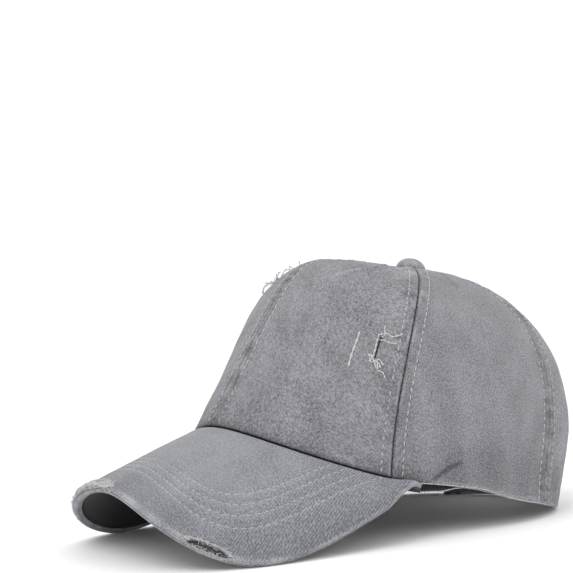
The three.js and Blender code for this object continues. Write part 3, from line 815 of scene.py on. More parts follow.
def hang(bearing, rise):
    """How the sewn edge hangs below the drawn rim, just clear of what the cap stands on."""
    p, away = rim(bearing), np.abs((bearing + 180) % 360 - 180)
    table = CLOSURE_LOW + (p[..., 1] - HEAD_BACK) * SLOPE + 0.4 * MM
    edge = np.maximum(read(CUT_EDGE, "bearing", "up", away) * MM, np.minimum(table - p[..., 2], 0))
    return point(0, 0, edge * np.clip(1 - rise / HANG_RISE, 0, 1) ** 2)


def creases(points):
    """Relief of the sharp creases that handling leaves, with painted shade in their valleys and paler worn
    tops on raised ones.
    """
    relief, wear_and_shade = 0.0, 0.0
    for c in CREASES:
        line = crown(*np.array(curve(c["places"])).T)
        away = np.min([length(points - q) for q in line], axis=0)
        wide = c["wide"] * MM
        valley = hump(away, 0, wide)
        relief = relief - c["deep"] * MM * (valley - 0.4 * hump(away, 2.3 * wide, wide))
        # Painted shade in a valley; a raised crease pales where worn.
        wear_and_shade = wear_and_shade - c["dark"] * valley
    return relief, wear_and_shade


# %% [markdown]
# ## Panels
# A panel's grid is dense beside its edges, where the relief is small, and open between them. Relief moves
# its outer face, and the same lengths carry the weave, the fading and the painted shade.

# %% One panel
def panel_places(edge_a, edge_b):
    """Bearings, rises and lengths of a panel's grid, dense beside both of its edges."""
    middle = (edge_a(0.3) + edge_b(0.3)) / 2
    fine = np.linspace(0, rise_near(middle, CROWN_HOLE), 500)
    climbed = measure(crown(np.full(500, middle), fine))
    up = np.concatenate([np.array([0, 0.12, 0.3, 0.6, 1.1]) * MM,
                         np.arange(1.8 * MM, climbed[-1] - PANEL_STEP / 2, PANEL_STEP), climbed[-1:]])
    rise = np.interp(up, climbed, fine)
    a, b = edge_a(rise), edge_b(rise)
    wide = length(steps((a + b) / 2, rise)[0]) * np.abs(b - a)
    zone = np.minimum(SEAM_ZONE, 0.42 * wide)
    near = zone[:, None] * ZONE_STEPS
    share = np.linspace(0, 1, PANEL_MIDDLE + 2)[1:-1]
    between = zone[:, None] + (wide - 2 * zone)[:, None] * share
    place = np.concatenate([near, between, wide[:, None] - near[:, ::-1]], 1)
    place = np.clip(place, GAP / 2, wide[:, None] - GAP / 2)
    bearing = a[:, None] + (b - a)[:, None] * place / wide[:, None]
    return bearing, rise[:, None] + 0 * place, place, wide[:, None] - place, up[:, None] + 0 * place


def soft_relief(x, y, seed):
    """The gentle unevenness of washed cloth."""
    return 0.28 * MM * ripple(x, y, 34 * MM, seed) + 0.1 * MM * ripple(x, y, 11 * MM, seed + 1)


def panel(name, edge_a, edge_b, seeds, opening):
    """One panel of the crown: a seam along each edge, or a hem where it ends at the opening."""
    bearing, rise, from_a, from_b, up = panel_places(edge_a, edge_b)
    x, along = (from_a - from_b) / 2, rise * CROWN_CLIMB
    relief_b, wear_b = (hem_relief, hem_wear) if opening else (seam_relief, seam_wear)
    # Creases give relief, and painted shade in their valleys with paler worn tops on raised ones.
    creased, faded = creases(crown(bearing, rise))
    inland = smooth(5 * MM, 15 * MM, np.minimum(from_a, from_b)) * smooth(0, 12 * MM, up)
    lift = soft_relief(x, up, seeds[0]) * inland + creased
    lift = lift + seam_relief(from_a, along, seeds[0]) + relief_b(from_b, along, seeds[1])
    wear_and_shade = 0.12 * ripple(x, up, 26 * MM, seeds[0] + 3) + faded
    wear_and_shade = wear_and_shade + seam_wear(from_a, along, seeds[0]) + wear_b(from_b, along, seeds[1])
    bare = smooth(66, 74, np.abs(bearing))     # away from the brim the rim shows its worn edge
    # Painted shade: in front, where the brim meets the crown, the crown's lowest 2 mm is darkened; at the
    # sides the rim's edge is paler where worn.
    wear_and_shade = wear_and_shade + bare * 0.6 * hump(up, 0.4 * MM, 0.8 * MM) - (1 - bare) * 0.6 * hump(up, 0, 2.2 * MM)
    # Painted shade: the crown darkens toward its rim over its lowest 32 mm.
    wear_and_shade = wear_and_shade - 0.3 * (1 - smooth(0, 32 * MM, up))
    # Soft folds: raised ones are paler where worn, dented ones darker as painted shade.
    wear_and_shade = wear_and_shade + np.clip(folds(bearing, rise, *steps(bearing, rise)) / (4 * MM), -0.2, 0.2)
    draw_in = rounding(np.minimum(from_b - GAP / 2, up) if opening else up)
    outer = crown(bearing, rise, lift - draw_in)
    inner = crown(bearing, rise, draw_in - CLOTH)
    sheet(name, outer, inner, point(x, up, seeds[0] * 0.31), wear_and_shade, crown_twill, [name])


# %% All six panels
def mirrored(edge, side):
    """An edge of the left half, or its mirror image on the right."""
    return lambda rise: side * edge(rise)


PANELS = {
    "front": {"from": steady(0.0), "to": steady(FRONT_SEAM), "opening": False},
    "side": {"from": steady(FRONT_SEAM), "to": steady(BACK_SEAM), "opening": False},
    "back": {"from": steady(BACK_SEAM), "to": opening_edge, "opening": True},
}
SEAM_SEEDS = {("front", 1): (11, 12), ("side", 1): (12, 13), ("back", 1): (13, 14),
              ("front", -1): (11, 22), ("side", -1): (22, 23), ("back", -1): (23, 24)}

for side, word in ((1, "left"), (-1, "right")):
    for part, row in PANELS.items():
        panel(f"panel_{part}_{word}", mirrored(row["from"], side), mirrored(row["to"], side),
              SEAM_SEEDS[part, side], row["opening"])

# %% [markdown]
# ## Stitch rows of the crown
# A row runs up each side of every seam, and a short pair runs from the opening to the button. They use
# the panels' own relief, so each row lies in the dent that it pulls.

# %% Rows beside the seams
ROW_POINTS = 260


def seam_row(bearing, side, seed):
    """The line of a stitch row beside a seam, as a function of the lift."""
    end = float(rise_near(bearing, 13 * MM))
    rise = np.linspace(0.004, end, ROW_POINTS)
    turn = length(steps(bearing, rise)[0])
    off = np.minimum(STITCH_OFF, 0.42 * 50 * turn)
    beside = bearing + side * off / turn
    return lambda lift: crown(beside, rise, lift + seam_relief(off, rise * CROWN_CLIMB, seed))


SEAMS = [(0.0, 11), (FRONT_SEAM, 12), (BACK_SEAM, 13), (-FRONT_SEAM, 22), (-BACK_SEAM, 23)]
rows = [dashes(seam_row(b, s, seed), seed * 7 + s) for b, seed in SEAMS for s in (1, -1)]


def back_seam_row(side):
    """A row beside the short seam between the opening and the button."""
    apex = float(rise_at(180.0, OPENING[-1]["height"] * CROWN_HEIGHT))
    rise = np.linspace(apex + 0.02, float(rise_near(180.0, 9.5 * MM)), 90)
    off = STITCH_OFF * 0.8 / length(steps(180.0, rise)[0])
    up = measure(crown(np.full(90, 180.0), rise))
    return lambda lift: crown(180 + side * off, rise, lift + seam_relief(STITCH_OFF, up, 31))


thread_piece("crown_stitching", rows, stitch_thread)
rows = [dashes(back_seam_row(s), 50 + s) for s in (1, -1)]
thread_piece("back_seam_stitching", rows, faded_thread)

# %% [markdown]
# ## Button
# The button is a small metal shell covered with a disc of the same cloth, drawn together underneath,
# so the cloth is smooth on top and gathers a little toward its edge.

# %% Button
BUTTON_RADIUS, BUTTON_TALL = 8.2 * MM, 5.0 * MM


def button():
    share = np.sin(np.linspace(0.02, 1, 22) * math.pi / 2)
    turn = np.linspace(-180, 180, 97)
    s, b = np.meshgrid(share, turn, indexing="ij")
    foot = shell(b, rise_near(b, s * BUTTON_RADIUS))
    foot[..., 2] = np.maximum(foot[..., 2], CROWN_HEIGHT - 0.35 * s * BUTTON_RADIUS) + GAP
    gathers = 0.12 * MM * s ** 3 * ripple(b * 0.4 * MM, s * 0, 2.4 * MM, 77)
    dome = BUTTON_TALL * np.maximum(1 - s ** 2.6, 0) ** 0.6 + 0.9 * MM + gathers
    outer, inner = foot + point(0, 0, dome), foot + point(0, 0, 0.1 * MM + 0 * dome)
    cloth = point(foot[..., 0], foot[..., 1], 4.7)
    wear_and_shade = 0.25 + 0.3 * ripple(foot[..., 0], foot[..., 1], 6 * MM, 78) + 0.3 * hump(s, 0.8, 0.25)
    sheet("button_cover", outer, inner, cloth, wear_and_shade, crown_twill, ["button"])


button()

# %% [markdown]
# ## Brim
# Two layers of cloth are pulled over a stiff board and held by rows of stitching that echo its edge.
# The folded edge takes the knocks: here the cloth is worn through and the grey board shows.

# %% Stitch rows of the brim, in plan
BRIM_ROWS = 4
ROW_HALF, ROW_HALF_STEP = 62.7 * MM, 3.7 * MM
ROW_FRONT, ROW_FRONT_STEP = 146 * MM, 3.45 * MM
ROW_START, ROW_SQUARE = 80 * MM, 4.3


def row_side(k, p):
    """Negative inside the row k of the brim, positive outside it."""
    half, deep = ROW_HALF + k * ROW_HALF_STEP, ROW_FRONT + k * ROW_FRONT_STEP - ROW_START
    y = np.maximum(-p[..., 1] - ROW_START, 0)
    return np.abs(p[..., 0] / half) ** ROW_SQUARE + (y / deep) ** ROW_SQUARE - 1


def surface_distance(value, points):
    """Turns a field on a grid of points into a distance from its zero line."""
    down, across = np.gradient(value)
    step_down, step_across = (length(d) for d in np.gradient(points, axis=(0, 1)))
    slope = np.hypot(down / np.maximum(step_down, 1e-6), across / np.maximum(step_across, 1e-6))
    return value / np.maximum(slope, 1e-9)


# %% Top cloth of the brim
TEARS = [  # places worn through: middle and half width along the edge, reach on both sides of it
    {"across": 0.454, "half": 0.08, "inside": 2.3 * MM, "outside": 2.2 * MM, "seed": 3, "tangle": 0.1},
    {"across": -0.05, "half": 0.07, "inside": 3.0 * MM, "outside": 1.9 * MM, "seed": 8, "tangle": 1.0},
]
BRIM_COLUMNS, BRIM_ROWS_OUT = 300, 74
LIP_TURN = np.linspace(0, 90, 9)[1:]


def brim_grid():
    """Places of the brim's grid: across, out, depth of the turned edge and distance past it."""
    across = np.linspace(-1, 1, BRIM_COLUMNS)
    turn = np.radians(np.concatenate([np.zeros(BRIM_ROWS_OUT), LIP_TURN]))
    out = np.concatenate([1 - (1 - np.linspace(0, 1, BRIM_ROWS_OUT)) ** 1.25, np.ones(len(LIP_TURN))])
    v, u = np.meshgrid(out, across, indexing="ij")
    return u, v, (turn[:, None] + 0 * u)


def brim_top():
    u, v, turn = brim_grid()
    face = brim_face(u, v)
    relief, wear_and_shade = soft_relief(face[..., 0], face[..., 1], 41) * 0.5, 0.0
    for k in range(BRIM_ROWS):
        gap = surface_distance(row_side(k, face), face)
        relief = relief - 0.32 * MM * hump(gap, 0, 0.8 * MM) + 0.1 * MM * hump(gap, 2.2 * MM, 1.6 * MM)
        wear_and_shade = wear_and_shade + 0.22 * hump(gap, 0.9 * MM, 1.2 * MM)
    past = length(face - brim_face(u, 1.0))
    ridge = hump(past, 1.6 * MM, 1.8 * MM)
    relief = (relief + 0.12 * MM * ridge * ripple(u * EDGE_LENGTH, v * 0, 6 * MM, 42)) * smooth(0, 0.04, v)
    draw_in = rounding(length(face - brim_face(u, 0.0)) + (v > 0.5) * MM, 0.45 * MM)
    outer = brim(u, v, EDGE_MIDDLE * (1 - np.cos(turn)) - relief * (turn == 0) + draw_in,
                 LIP * np.sin(turn))
    low = BRIM_CLOTH + (EDGE_MIDDLE - BRIM_CLOTH) * (1 - np.cos(turn)) - draw_in
    low = np.minimum(low, EDGE_MIDDLE)
    inner = brim(u, v, low, 0.28 * LIP * np.sin(turn))
    rubbed = 0.6 + 0.4 * ripple(u * EDGE_LENGTH, v * 0, 7 * MM, 43)
    wear_and_shade = wear_and_shade + rubbed * hump(past * (turn == 0), 0, 1.3 * MM)
    wear_and_shade = wear_and_shade + 0.1 * ripple(face[..., 0], face[..., 1], 24 * MM, 44)
    # Painted shade: the brim darkens toward its sides and toward its outer edge.
    wear_and_shade = wear_and_shade - 0.3 * smooth(0.2, 0.95, np.abs(u)) - 0.38 * smooth(0.45, 1, v)
    past_edge = np.where(turn > 0, turn / math.pi * 2 * EDGE_FOLD, -past)
    keep = ~torn(u, past_edge)[:-1, :-1]
    cloth = point(face[..., 0], face[..., 1] + (turn > 0) * past_edge, 2.2)
    sheet("brim_top_cloth", outer, inner, cloth, wear_and_shade, brim_twill, ["brim_top"], keep)


def torn(u, past_edge):
    """Where the cloth is worn through: past_edge runs from inside the edge round the fold."""
    gone = np.zeros(u.shape, bool)
    for t in TEARS:
        ragged = 1 + 0.22 * ripple(u * EDGE_LENGTH, past_edge, 3.0 * MM, t["seed"])
        reach = np.where(past_edge < 0, t["inside"], t["outside"])
        gone |= ((u - t["across"]) / t["half"]) ** 2 + (past_edge / reach) ** 2 < ragged
    return gone


brim_top()


# %% [markdown]
# ## Board and underside
# The board is hidden but for the tears, and the under cloth is the same dark cotton as the linings, sewn
# to the top cloth along a line just inside the edge. Both are plain layers under the top face.

# %% Board and underside
LAYER_COLUMNS, LAYER_ROWS = 150, 30


def brim_layer(name, above, below, material, node, lip):
    """A plain inner or lower layer between two depths; lip is whether it turns at the edge."""
    turned = LIP_TURN if lip else []
    turn = np.radians(np.concatenate([np.zeros(LAYER_ROWS), turned]))
    out = np.concatenate([np.linspace(0, 1, LAYER_ROWS), np.ones(len(turned))])
    v, u = np.meshgrid(out, np.linspace(-1, 1, LAYER_COLUMNS), indexing="ij")
    turn = turn[:, None] + 0 * u
    middle = EDGE_MIDDLE + GAP
    face = brim_face(u, v)
    past = length(face - brim_face(u, 1.0))
    welt = 0.25 * MM * (smooth(4.6 * MM, 5.4 * MM, past) - 1) if lip else 0 * past
    deep = below + (middle - below) * (1 - np.cos(turn)) + welt * (turn == 0)
    lower = brim(u, v, deep, LIP * np.sin(turn))
    upper = brim(u, v, above + 0 * turn, 0.28 * LIP * np.sin(turn))
    cloth = point(face[..., 0], face[..., 1], 3.3)
    wear_and_shade = 0.3 * hump(past, 5.0 * MM, 0.5 * MM) + 0.15 * ripple(face[..., 0], face[..., 1], 22 * MM, 47)
    sheet(name, lower, upper, cloth, wear_and_shade, material, [node])


BOARD_TOP = BRIM_CLOTH + GAP
BOARD_FOOT = BOARD_TOP + BOARD_THICK
brim_layer("brim_interlining", BOARD_TOP, BOARD_FOOT, board_felt, "brim_board", False)
brim_layer("brim_under_cloth", BOARD_FOOT + GAP, BRIM_FULL, dark_twill, "brim_under", True)


# %% [markdown]
# ## Stitch rows of the brim
# Each row echoes the brim's edge. It is found on the plan, where the row's own outline crosses the lines
# that run out from the crown, and lies sunk in the groove that the top cloth has there.

# %% Stitch rows of the brim
def brim_row(k):
    across = np.linspace(-0.985, 0.985, 900)
    inside = row_side(k, brim_face(across, 0.0)) < 0
    across = across[inside]
    out = solve(lambda v: row_side(k, brim_face(across, v)), 0 * across, 0 * across + 1)
    return lambda lift: brim(across, out, 0.3 * MM - lift)


rows = [dashes(brim_row(k), 80 + k, thread=0.21 * MM) for k in range(BRIM_ROWS)]
thread_piece("brim_stitching", rows, stitch_thread)

# %% [markdown]
# ## Straps and bands
# The straps across the opening, the closure, the sweatband and the tapes are all strips that lie under
# the crown's cloth. One function lays a strip between two bearings and two heights at a depth under
# the crown, clear of its folds, rounds its edges and gathers it where it is stitched.

# %% Strips under the crown
STRAP_THICK, STRAP_TUCK, STRAP_ROW = 1.4 * MM, 9.0 * MM, 2.0 * MM
FOLD_REACH = 14 * MM
FOLD_STEPS = np.array([-1, -0.6, -0.3, 0, 0.3, 0.6, 1]) * FOLD_REACH


def beneath(bearing, rise, depth):
    """A point under the crown's outer face that clears the folds round it."""
    bearing, rise = np.broadcast_arrays(np.asarray(bearing, float), np.asarray(rise, float))
    turn, climb = steps(bearing, rise)
    dent = np.zeros(bearing.shape)
    for x in FOLD_STEPS:
        for y in FOLD_STEPS:
            near = folds(bearing + x / length(turn), rise + y / length(climb), turn, climb)
            dent = np.maximum(dent, -near)
    depth = np.asarray(depth + dent)
    return shell(bearing, rise) - unit(np.cross(turn, climb)) * depth[..., None] + hang(bearing, rise)


def strip(name, start, end, low, high, depth, thick, grid, seed, cloth, slot, nodes=(),
          bumps=0.18 * MM, wave=9 * MM, blotch=0.5, pale=0.0, dent=None):
    """A strip between two bearings; low and high are rises and depth a depth, each by bearing."""
    columns, rows = grid
    share = 0.5 - 0.5 * np.cos(np.linspace(0, math.pi, rows))
    v, b = np.meshgrid(share, np.linspace(start, end, columns), indexing="ij")
    foot, deep = low(b[0]), depth(b[0])
    rise = foot + (high(b[0]) - foot) * v
    along = measure(beneath(b[0], rise[rows // 2], deep))[None, :] + 0 * v
    up = v * length(beneath(b[:1], rise[-1:], deep) - beneath(b[:1], rise[:1], deep))
    edge = np.minimum(up, up[-1:] - up)
    uneven = ripple(along, up, wave, seed)
    relief = bumps * uneven * smooth(0, 2 * MM, edge)
    wear_and_shade = pale + blotch * uneven + 0.9 * hump(edge, 0.3 * MM, 0.7 * MM)
    if dent:
        relief = relief - 0.3 * MM * hump(edge, dent, 0.6 * MM)
        wear_and_shade = wear_and_shade - 0.3 * hump(edge, dent, 0.8 * MM)
    ends = np.minimum(along, along[:, -1:] - along)
    draw_in = rounding(np.minimum(edge, ends), 0.46 * thick)
    outer = beneath(b, rise, deep - relief + draw_in)
    inner = beneath(b, rise, deep + thick - draw_in)
    sheet(name, outer, inner, point(along, up, seed * 0.37), wear_and_shade, cloth, nodes)


def tucked(edge, height):
    """Bearing of a strip's end, hidden under the panel past the opening's edge."""
    return edge - STRAP_TUCK / float(length(steps(edge, rise_at(edge, height))[0]))


def strip_row(start, end, low, high, depth, share, count=160):
    """The line of a stitch row along a strip, at a share of its height."""
    b = np.linspace(start, end, count)
    return lambda lift: beneath(b, low(b) + (high(b) - low(b)) * share, depth(b) - lift)


# %% [markdown]
# ## Straps
# Three straps cross the opening and keep it in shape. Each is folded cloth with a facing behind it whose
# edge shows as a darker line: the strap's own cloth darkened as painted shade under the strap. A stitch
# row runs along both of its edges.

# %% Straps across the opening
STRAPS = [
    {"name": "strap_upper", "low": 0.712, "low_climb": 0.012, "high": 0.776, "high_climb": 0.03},
    {"name": "strap_middle", "low": 0.545, "low_climb": 0.002, "high": 0.654, "high_climb": 0.0},
    {"name": "strap_lower", "low": 0.334, "low_climb": -0.004, "high": 0.455, "high_climb": 0.002},
]
UNDER_CLOTH = CLOTH + LOOSE
FACING_DROP = 1.3 * MM    # the strap's inner layer shows this far below the outer one


def strap(row, seed):
    """One strap and its facing; gives back its two stitch rows."""
    name, tall = row["name"], (row["high"] - row["low"]) * CROWN_HEIGHT
    middle = (row["low"] + row["high"]) / 2 * CROWN_HEIGHT
    edge = float(opening_edge(rise_at(165.0, middle)))
    start = tucked(edge, middle)

    def height(which, lift=0.0):
        def at(b):
            climb = row[which + "_climb"] * ((b - 180) / (180 - start)) ** 2
            return rise_at(b, (row[which] + climb) * CROWN_HEIGHT + lift)
        return at
    low, high = height("low"), height("high")
    strip(name + "_cloth", start, 360 - start, low, high, steady(UNDER_CLOTH), 0.55 * STRAP_THICK,
          (170, 44), seed, strap_twill, "washed_cotton", [name], bumps=0.25 * MM, dent=STRAP_ROW)
    # The facing is the strap's own cloth made darker (pale=-0.7): painted shade below the strap's lower
    # edge.
    strip(name + "_facing", start, 360 - start, height("low", -FACING_DROP), height("low", 5 * MM),
          steady(UNDER_CLOTH + 0.6 * STRAP_THICK), 0.4 * STRAP_THICK,
          (120, 14), seed + 40, strap_twill, "washed_cotton", pale=-0.7)
    flat = steady(UNDER_CLOTH + THREAD_DEPTH)
    return [dashes(strip_row(edge - 1, 361 - edge, low, high, flat, s), seed + k, thread=0.18 * MM)
            for k, s in enumerate((STRAP_ROW / tall, 1 - STRAP_ROW / tall))]


rows = []
for number, row in enumerate(STRAPS):
    rows += strap(row, 101 + number)
thread_piece("strap_stitching", rows, faded_thread)


# %% [markdown]
# ## Closure
# The closure is a strap from the left panel that laps over a tab from the right one, so the rim's size
# can be set. Its lower edge is what the cap stands on at the back.

# %% Closure at the rim
CLOSURE_WIDE, CLOSURE_THICK = 20.5 * MM, 1.6 * MM
OUTER_END, TAB_END, TAB_CLIMB = 35.5 * MM, 36.5 * MM, 4.2 * MM
CLOSURE_LOOK = {"wave": 12 * MM, "bumps": 0.14 * MM, "blotch": 0.3, "dent": 2.6 * MM}


def bearing_left(x, height):
    """Bearing of the place on the crown's back that lies a distance left of the middle."""
    return float(solve(lambda b: x - shell(b, rise_at(b, height))[..., 0], 100.0, 260.0))


def on_table(depth):
    """The rise, by bearing, where the cloth at a depth meets the surface the cap stands on."""
    def at(b):
        def over(t):
            p = beneath(b, t, depth)
            return p[..., 2] - CLOSURE_LOW - (p[..., 1] - HEAD_BACK) * SLOPE
        return solve(over, 0 * b - 0.2, 0 * b + 0.3)
    return at


def cross_row(b, low, high, depth):
    """The line of a stitch row across a strip at one bearing."""
    foot, top = float(low(np.array(b))), float(high(np.array(b)))
    rise = foot + (top - foot) * np.linspace(0.14, 0.86, 40)
    return lambda lift: beneath(np.full(40, b), rise, depth - lift)


def closure():
    middle = CLOSURE_LOW + CLOSURE_WIDE / 2
    edge = float(opening_edge(rise_at(150.0, middle)))
    hidden = tucked(edge, middle)
    outer_end, tab_end = bearing_left(-OUTER_END, middle), bearing_left(TAB_END, middle)
    under, deep = UNDER_CLOTH, UNDER_CLOTH + CLOSURE_THICK + GAP
    low = on_table(under)
    high = lambda b: rise_at(b, CLOSURE_LOW + CLOSURE_WIDE)
    strip("closure_strap_cloth", hidden, outer_end, low, high, steady(under), CLOSURE_THICK,
          (150, 40), 121, strap_twill, "washed_cotton", ["closure_strap"], **CLOSURE_LOOK)
    climb = lambda b: TAB_CLIMB * np.clip((outer_end - b) / (outer_end - tab_end), 0, 1) ** 1.5
    table = on_table(deep)
    tab_low = lambda b: table(b) + (climb(b) + 0.3 * MM) / (75 * MM)
    tab_high = lambda b: rise_at(b, CLOSURE_LOW + CLOSURE_WIDE - 0.8 * MM + climb(b))
    tab_depth = lambda b: deep + (under - deep) * smooth(outer_end + 3, 360 - hidden, b)
    strip("closure_tab_cloth", tab_end, 360 - hidden, tab_low, tab_high, tab_depth, CLOSURE_THICK,
          (120, 30), 131, strap_twill, "washed_cotton", ["closure_tab"], pale=-0.15, **CLOSURE_LOOK)
    shown = steady(under + THREAD_DEPTH)
    rows = [dashes(strip_row(edge + 0.5, outer_end - 2, low, high, shown, s), 140 + k, pitch=3.1 * MM)
            for k, s in enumerate((0.13, 0.87))]
    tab_shown = lambda b: tab_depth(b) + THREAD_DEPTH
    tab_row = strip_row(tab_end + 2, outer_end + 8, tab_low, tab_high, tab_shown, 0.87)
    rows.append(dashes(tab_row, 150, pitch=3.1 * MM))
    for k, inward in enumerate((4.4 * MM, 6.2 * MM)):
        b = outer_end - inward / float(length(steps(outer_end, 0.1)[0]))
        row = cross_row(b, low, high, under + THREAD_DEPTH)
        rows.append(dashes(row, 160 + k, pitch=2.6 * MM, thread=FINE_THREAD))
    thread_piece("closure_stitching", rows, stitch_thread)


closure()

# %% [markdown]
# ## Inside
# Dark tape covers every seam and is held by the same stitches that show outside, so the inside shows
# them as pairs of pale lines. The sweatband is a dark strip sewn to the rim with close stitches that
# make a thin pale line along the rim's lower edge.

# %% Sweatband and tapes
BAND_WIDE, BAND_THICK, BAND_END = 30 * MM, 1.2 * MM, 144.0
TAPE_WIDE, TAPE_THICK = 14 * MM, 1.0 * MM
TAPES = {"tape_front": 0.0, "tape_front_left": FRONT_SEAM, "tape_front_right": -FRONT_SEAM,
         "tape_back_left": BACK_SEAM, "tape_back_right": -BACK_SEAM}


def band_foot(b):
    return 0.006 - 0.035 * (1 - smooth(72, 80, np.abs(b)))


def band_top(b):
    return rise_at(b, rim(b)[..., 2] + 0.6 * MM + BAND_WIDE)


def band_row(share):
    """The line of a stitch row on the sweatband's inner face."""
    b = np.linspace(-BAND_END + 2, BAND_END - 2, 700)
    rise = band_foot(b) + (band_top(b) - band_foot(b)) * share
    return lambda lift: beneath(b, rise, UNDER_CLOTH + BAND_THICK - 0.15 * MM + lift)


def band_edge(lift):
    """The line of the close stitches that hold the sweatband to the rim."""
    b = np.linspace(-BAND_END + 1, BAND_END - 1, 900)
    return beneath(b, band_foot(b) - 0.004, UNDER_CLOTH - 0.5 * MM - lift)


def sweatband():
    strip("sweatband_cloth", -BAND_END, BAND_END, band_foot, band_top, steady(UNDER_CLOTH), BAND_THICK,
          (300, 30), 171, dark_twill, "dark_cotton", ["sweatband"],
          bumps=0.2 * MM, wave=14 * MM, blotch=0.25)
    rows = [dashes(band_row(share), seed, pitch=CLOSE_PITCH, thread=FINE_THREAD)
            for share, seed in ((0.1, 181), (0.9, 182))]
    rows.append(dashes(band_edge, 183, pitch=1.5 * MM, fill=0.95, thread=0.3 * MM))
    thread_piece("sweatband_stitching", rows, stitch_thread)


sweatband()


# %% Tapes over the seams
def tape(name, bearing, seed):
    """One tape under a seam; gives back its stitch rows."""
    foot = rise_at(bearing, rim(np.array(bearing))[2] + 0.6 * MM + BAND_WIDE + 4 * MM)
    rise, u = np.meshgrid(np.linspace(float(foot), float(rise_near(bearing, 7 * MM)), 90),
                          np.linspace(-1, 1, 17), indexing="ij")
    turn = length(steps(bearing, rise)[0])
    widest = min(FRONT_SEAM, BACK_SEAM - FRONT_SEAM) / 2 - 3
    half = np.minimum(TAPE_WIDE / 2 / turn, widest)
    b = bearing + half * np.sin(u * math.pi / 2)
    up = measure(beneath(bearing, rise[:, 0], UNDER_CLOTH))[:, None] + 0 * u
    from_edge = (1 - np.abs(np.sin(u * math.pi / 2))) * TAPE_WIDE / 2
    draw_in = rounding(np.minimum(from_edge, np.minimum(up, up[-1:] - up)), 0.4 * TAPE_THICK)
    bumps = 0.15 * MM * ripple(from_edge, up, 7 * MM, seed)
    outer = beneath(b, rise, UNDER_CLOTH + draw_in)
    inner = beneath(b, rise, UNDER_CLOTH + TAPE_THICK - draw_in + bumps)
    wear_and_shade = 0.2 * ripple(from_edge, up, 9 * MM, seed)
    cloth = point(from_edge, up, seed * 0.3)
    sheet(name + "_cloth", inner, outer, cloth, wear_and_shade, dark_twill, [name])

    def row(off):
        return lambda lift: beneath(bearing + off * half[:, 0], rise[:, 0],
                                    UNDER_CLOTH + TAPE_THICK - 0.1 * MM + bumps[:, 8] + lift)
    return [dashes(row(off), seed + k, pitch=CLOSE_PITCH, thread=FINE_THREAD)
            for k, off in enumerate((-0.8, -0.56, 0.56, 0.8))]


rows = []
for number, (name, bearing) in enumerate(TAPES.items()):
    rows += tape(name, bearing, 191 + 5 * number)
thread_piece("tape_stitching", rows, stitch_thread)

# %% [markdown]
# ## Wear
# This cap is worn on purpose: yarns are pulled out of the cloth, one slit is cut and its threads left
# hanging, and the brim's edge is rubbed through. A broken yarn bleaches, so the frays are nearly white.
# Each is a short curve through a few places on the cloth.

# %% Pulled threads on the crown
PULLED = [  # radius and lift in mm, and places as (bearing, rise)
    {"radius": 0.62, "lift": 0.25,
     "places": [(45.7, 0.378), (45.6, 0.345), (45.3, 0.31), (45.1, 0.275), (45.0, 0.246)]},
    {"radius": 0.5, "lift": 0.35, "places": [(51.2, 0.418), (51.0, 0.39), (51.1, 0.36), (50.9, 0.325)]},
    {"radius": 0.44, "lift": 0.6, "places": [(52.0, 0.41), (52.6, 0.43), (52.1, 0.445), (52.2, 0.463)]},
    {"radius": 0.44, "lift": 0.7,
     "places": [(51.4, 0.415), (53.2, 0.437), (54.6, 0.436), (56.7, 0.462), (56.9, 0.472)]},
    {"radius": 0.4, "lift": 0.6, "places": [(51.8, 0.398), (53.0, 0.408), (54.4, 0.41), (56.2, 0.424)]},
    {"radius": 0.5, "lift": 0.7,
     "places": [(49.4, 0.322), (50.4, 0.33), (51.4, 0.317), (52.6, 0.334), (54.1, 0.325)]},
    {"radius": 0.5, "lift": 0.9,
     "places": [(50.2, 0.305), (51.0, 0.322), (52.2, 0.308), (52.8, 0.322), (53.5, 0.31)]},
    {"radius": 0.44, "lift": 0.8, "places": [(49.9, 0.331), (50.8, 0.309), (52.0, 0.326), (53.0, 0.302)]},
    {"radius": 0.44, "lift": 0.5, "places": [(51.6, 0.318), (52.8, 0.3), (54.2, 0.302), (55.2, 0.29)]},
]


def pulled_thread(row):
    path = curve(row["places"])
    t = np.linspace(0, 1, len(path))
    b, r = path[:, 0], path[:, 1]
    lift = row["lift"] * MM * (0.55 + 0.45 * np.sin(3 * math.pi * t + b[0]))
    line, up = crown(b, r, lift + 0.1 * MM), unit(crown(b, r, MM) - crown(b, r, 0.0))
    ends = smooth(0, 0.06, np.minimum(t, 1 - t) + 0.02)
    return line[None], up[None], row["radius"] * MM * (0.75 + 0.25 * np.sin(9 * math.pi * t)) * ends


LOOPS = [
    {"radius": 0.4, "lift": 2.6, "places": [(-20.0, 0.60), (-23.5, 0.58), (-25.0, 0.55), (-22.5, 0.53)]},
    {"radius": 0.4, "lift": 3.2, "places": [(-24.0, 0.57), (-27.0, 0.55), (-28.0, 0.51), (-24.5, 0.50)]},
    {"radius": 0.36, "lift": 2.2, "places": [(-22.0, 0.52), (-26.0, 0.50), (-29.0, 0.47), (-26.0, 0.45)]},
    {"radius": 0.36, "lift": 3.6, "places": [(-18.0, 0.63), (-20.5, 0.645), (-23.0, 0.62), (-21.0, 0.59)]},
    {"radius": 0.36, "lift": 2.8, "places": [(-28.5, 0.60), (-30.5, 0.57), (-29.0, 0.54), (-26.5, 0.56)]},
    {"radius": 0.3, "lift": -1.9,
     "places": [(-160.4, 0.471), (-162.6, 0.475), (-164.7, 0.469), (-163.2, 0.461), (-161.2, 0.463),
                (-159.8, 0.468)]},
    {"radius": 0.3, "lift": 1.6, "places": [(-25.5, 0.44), (-24.0, 0.46), (-22.5, 0.49), (-23.5, 0.53)]},
]
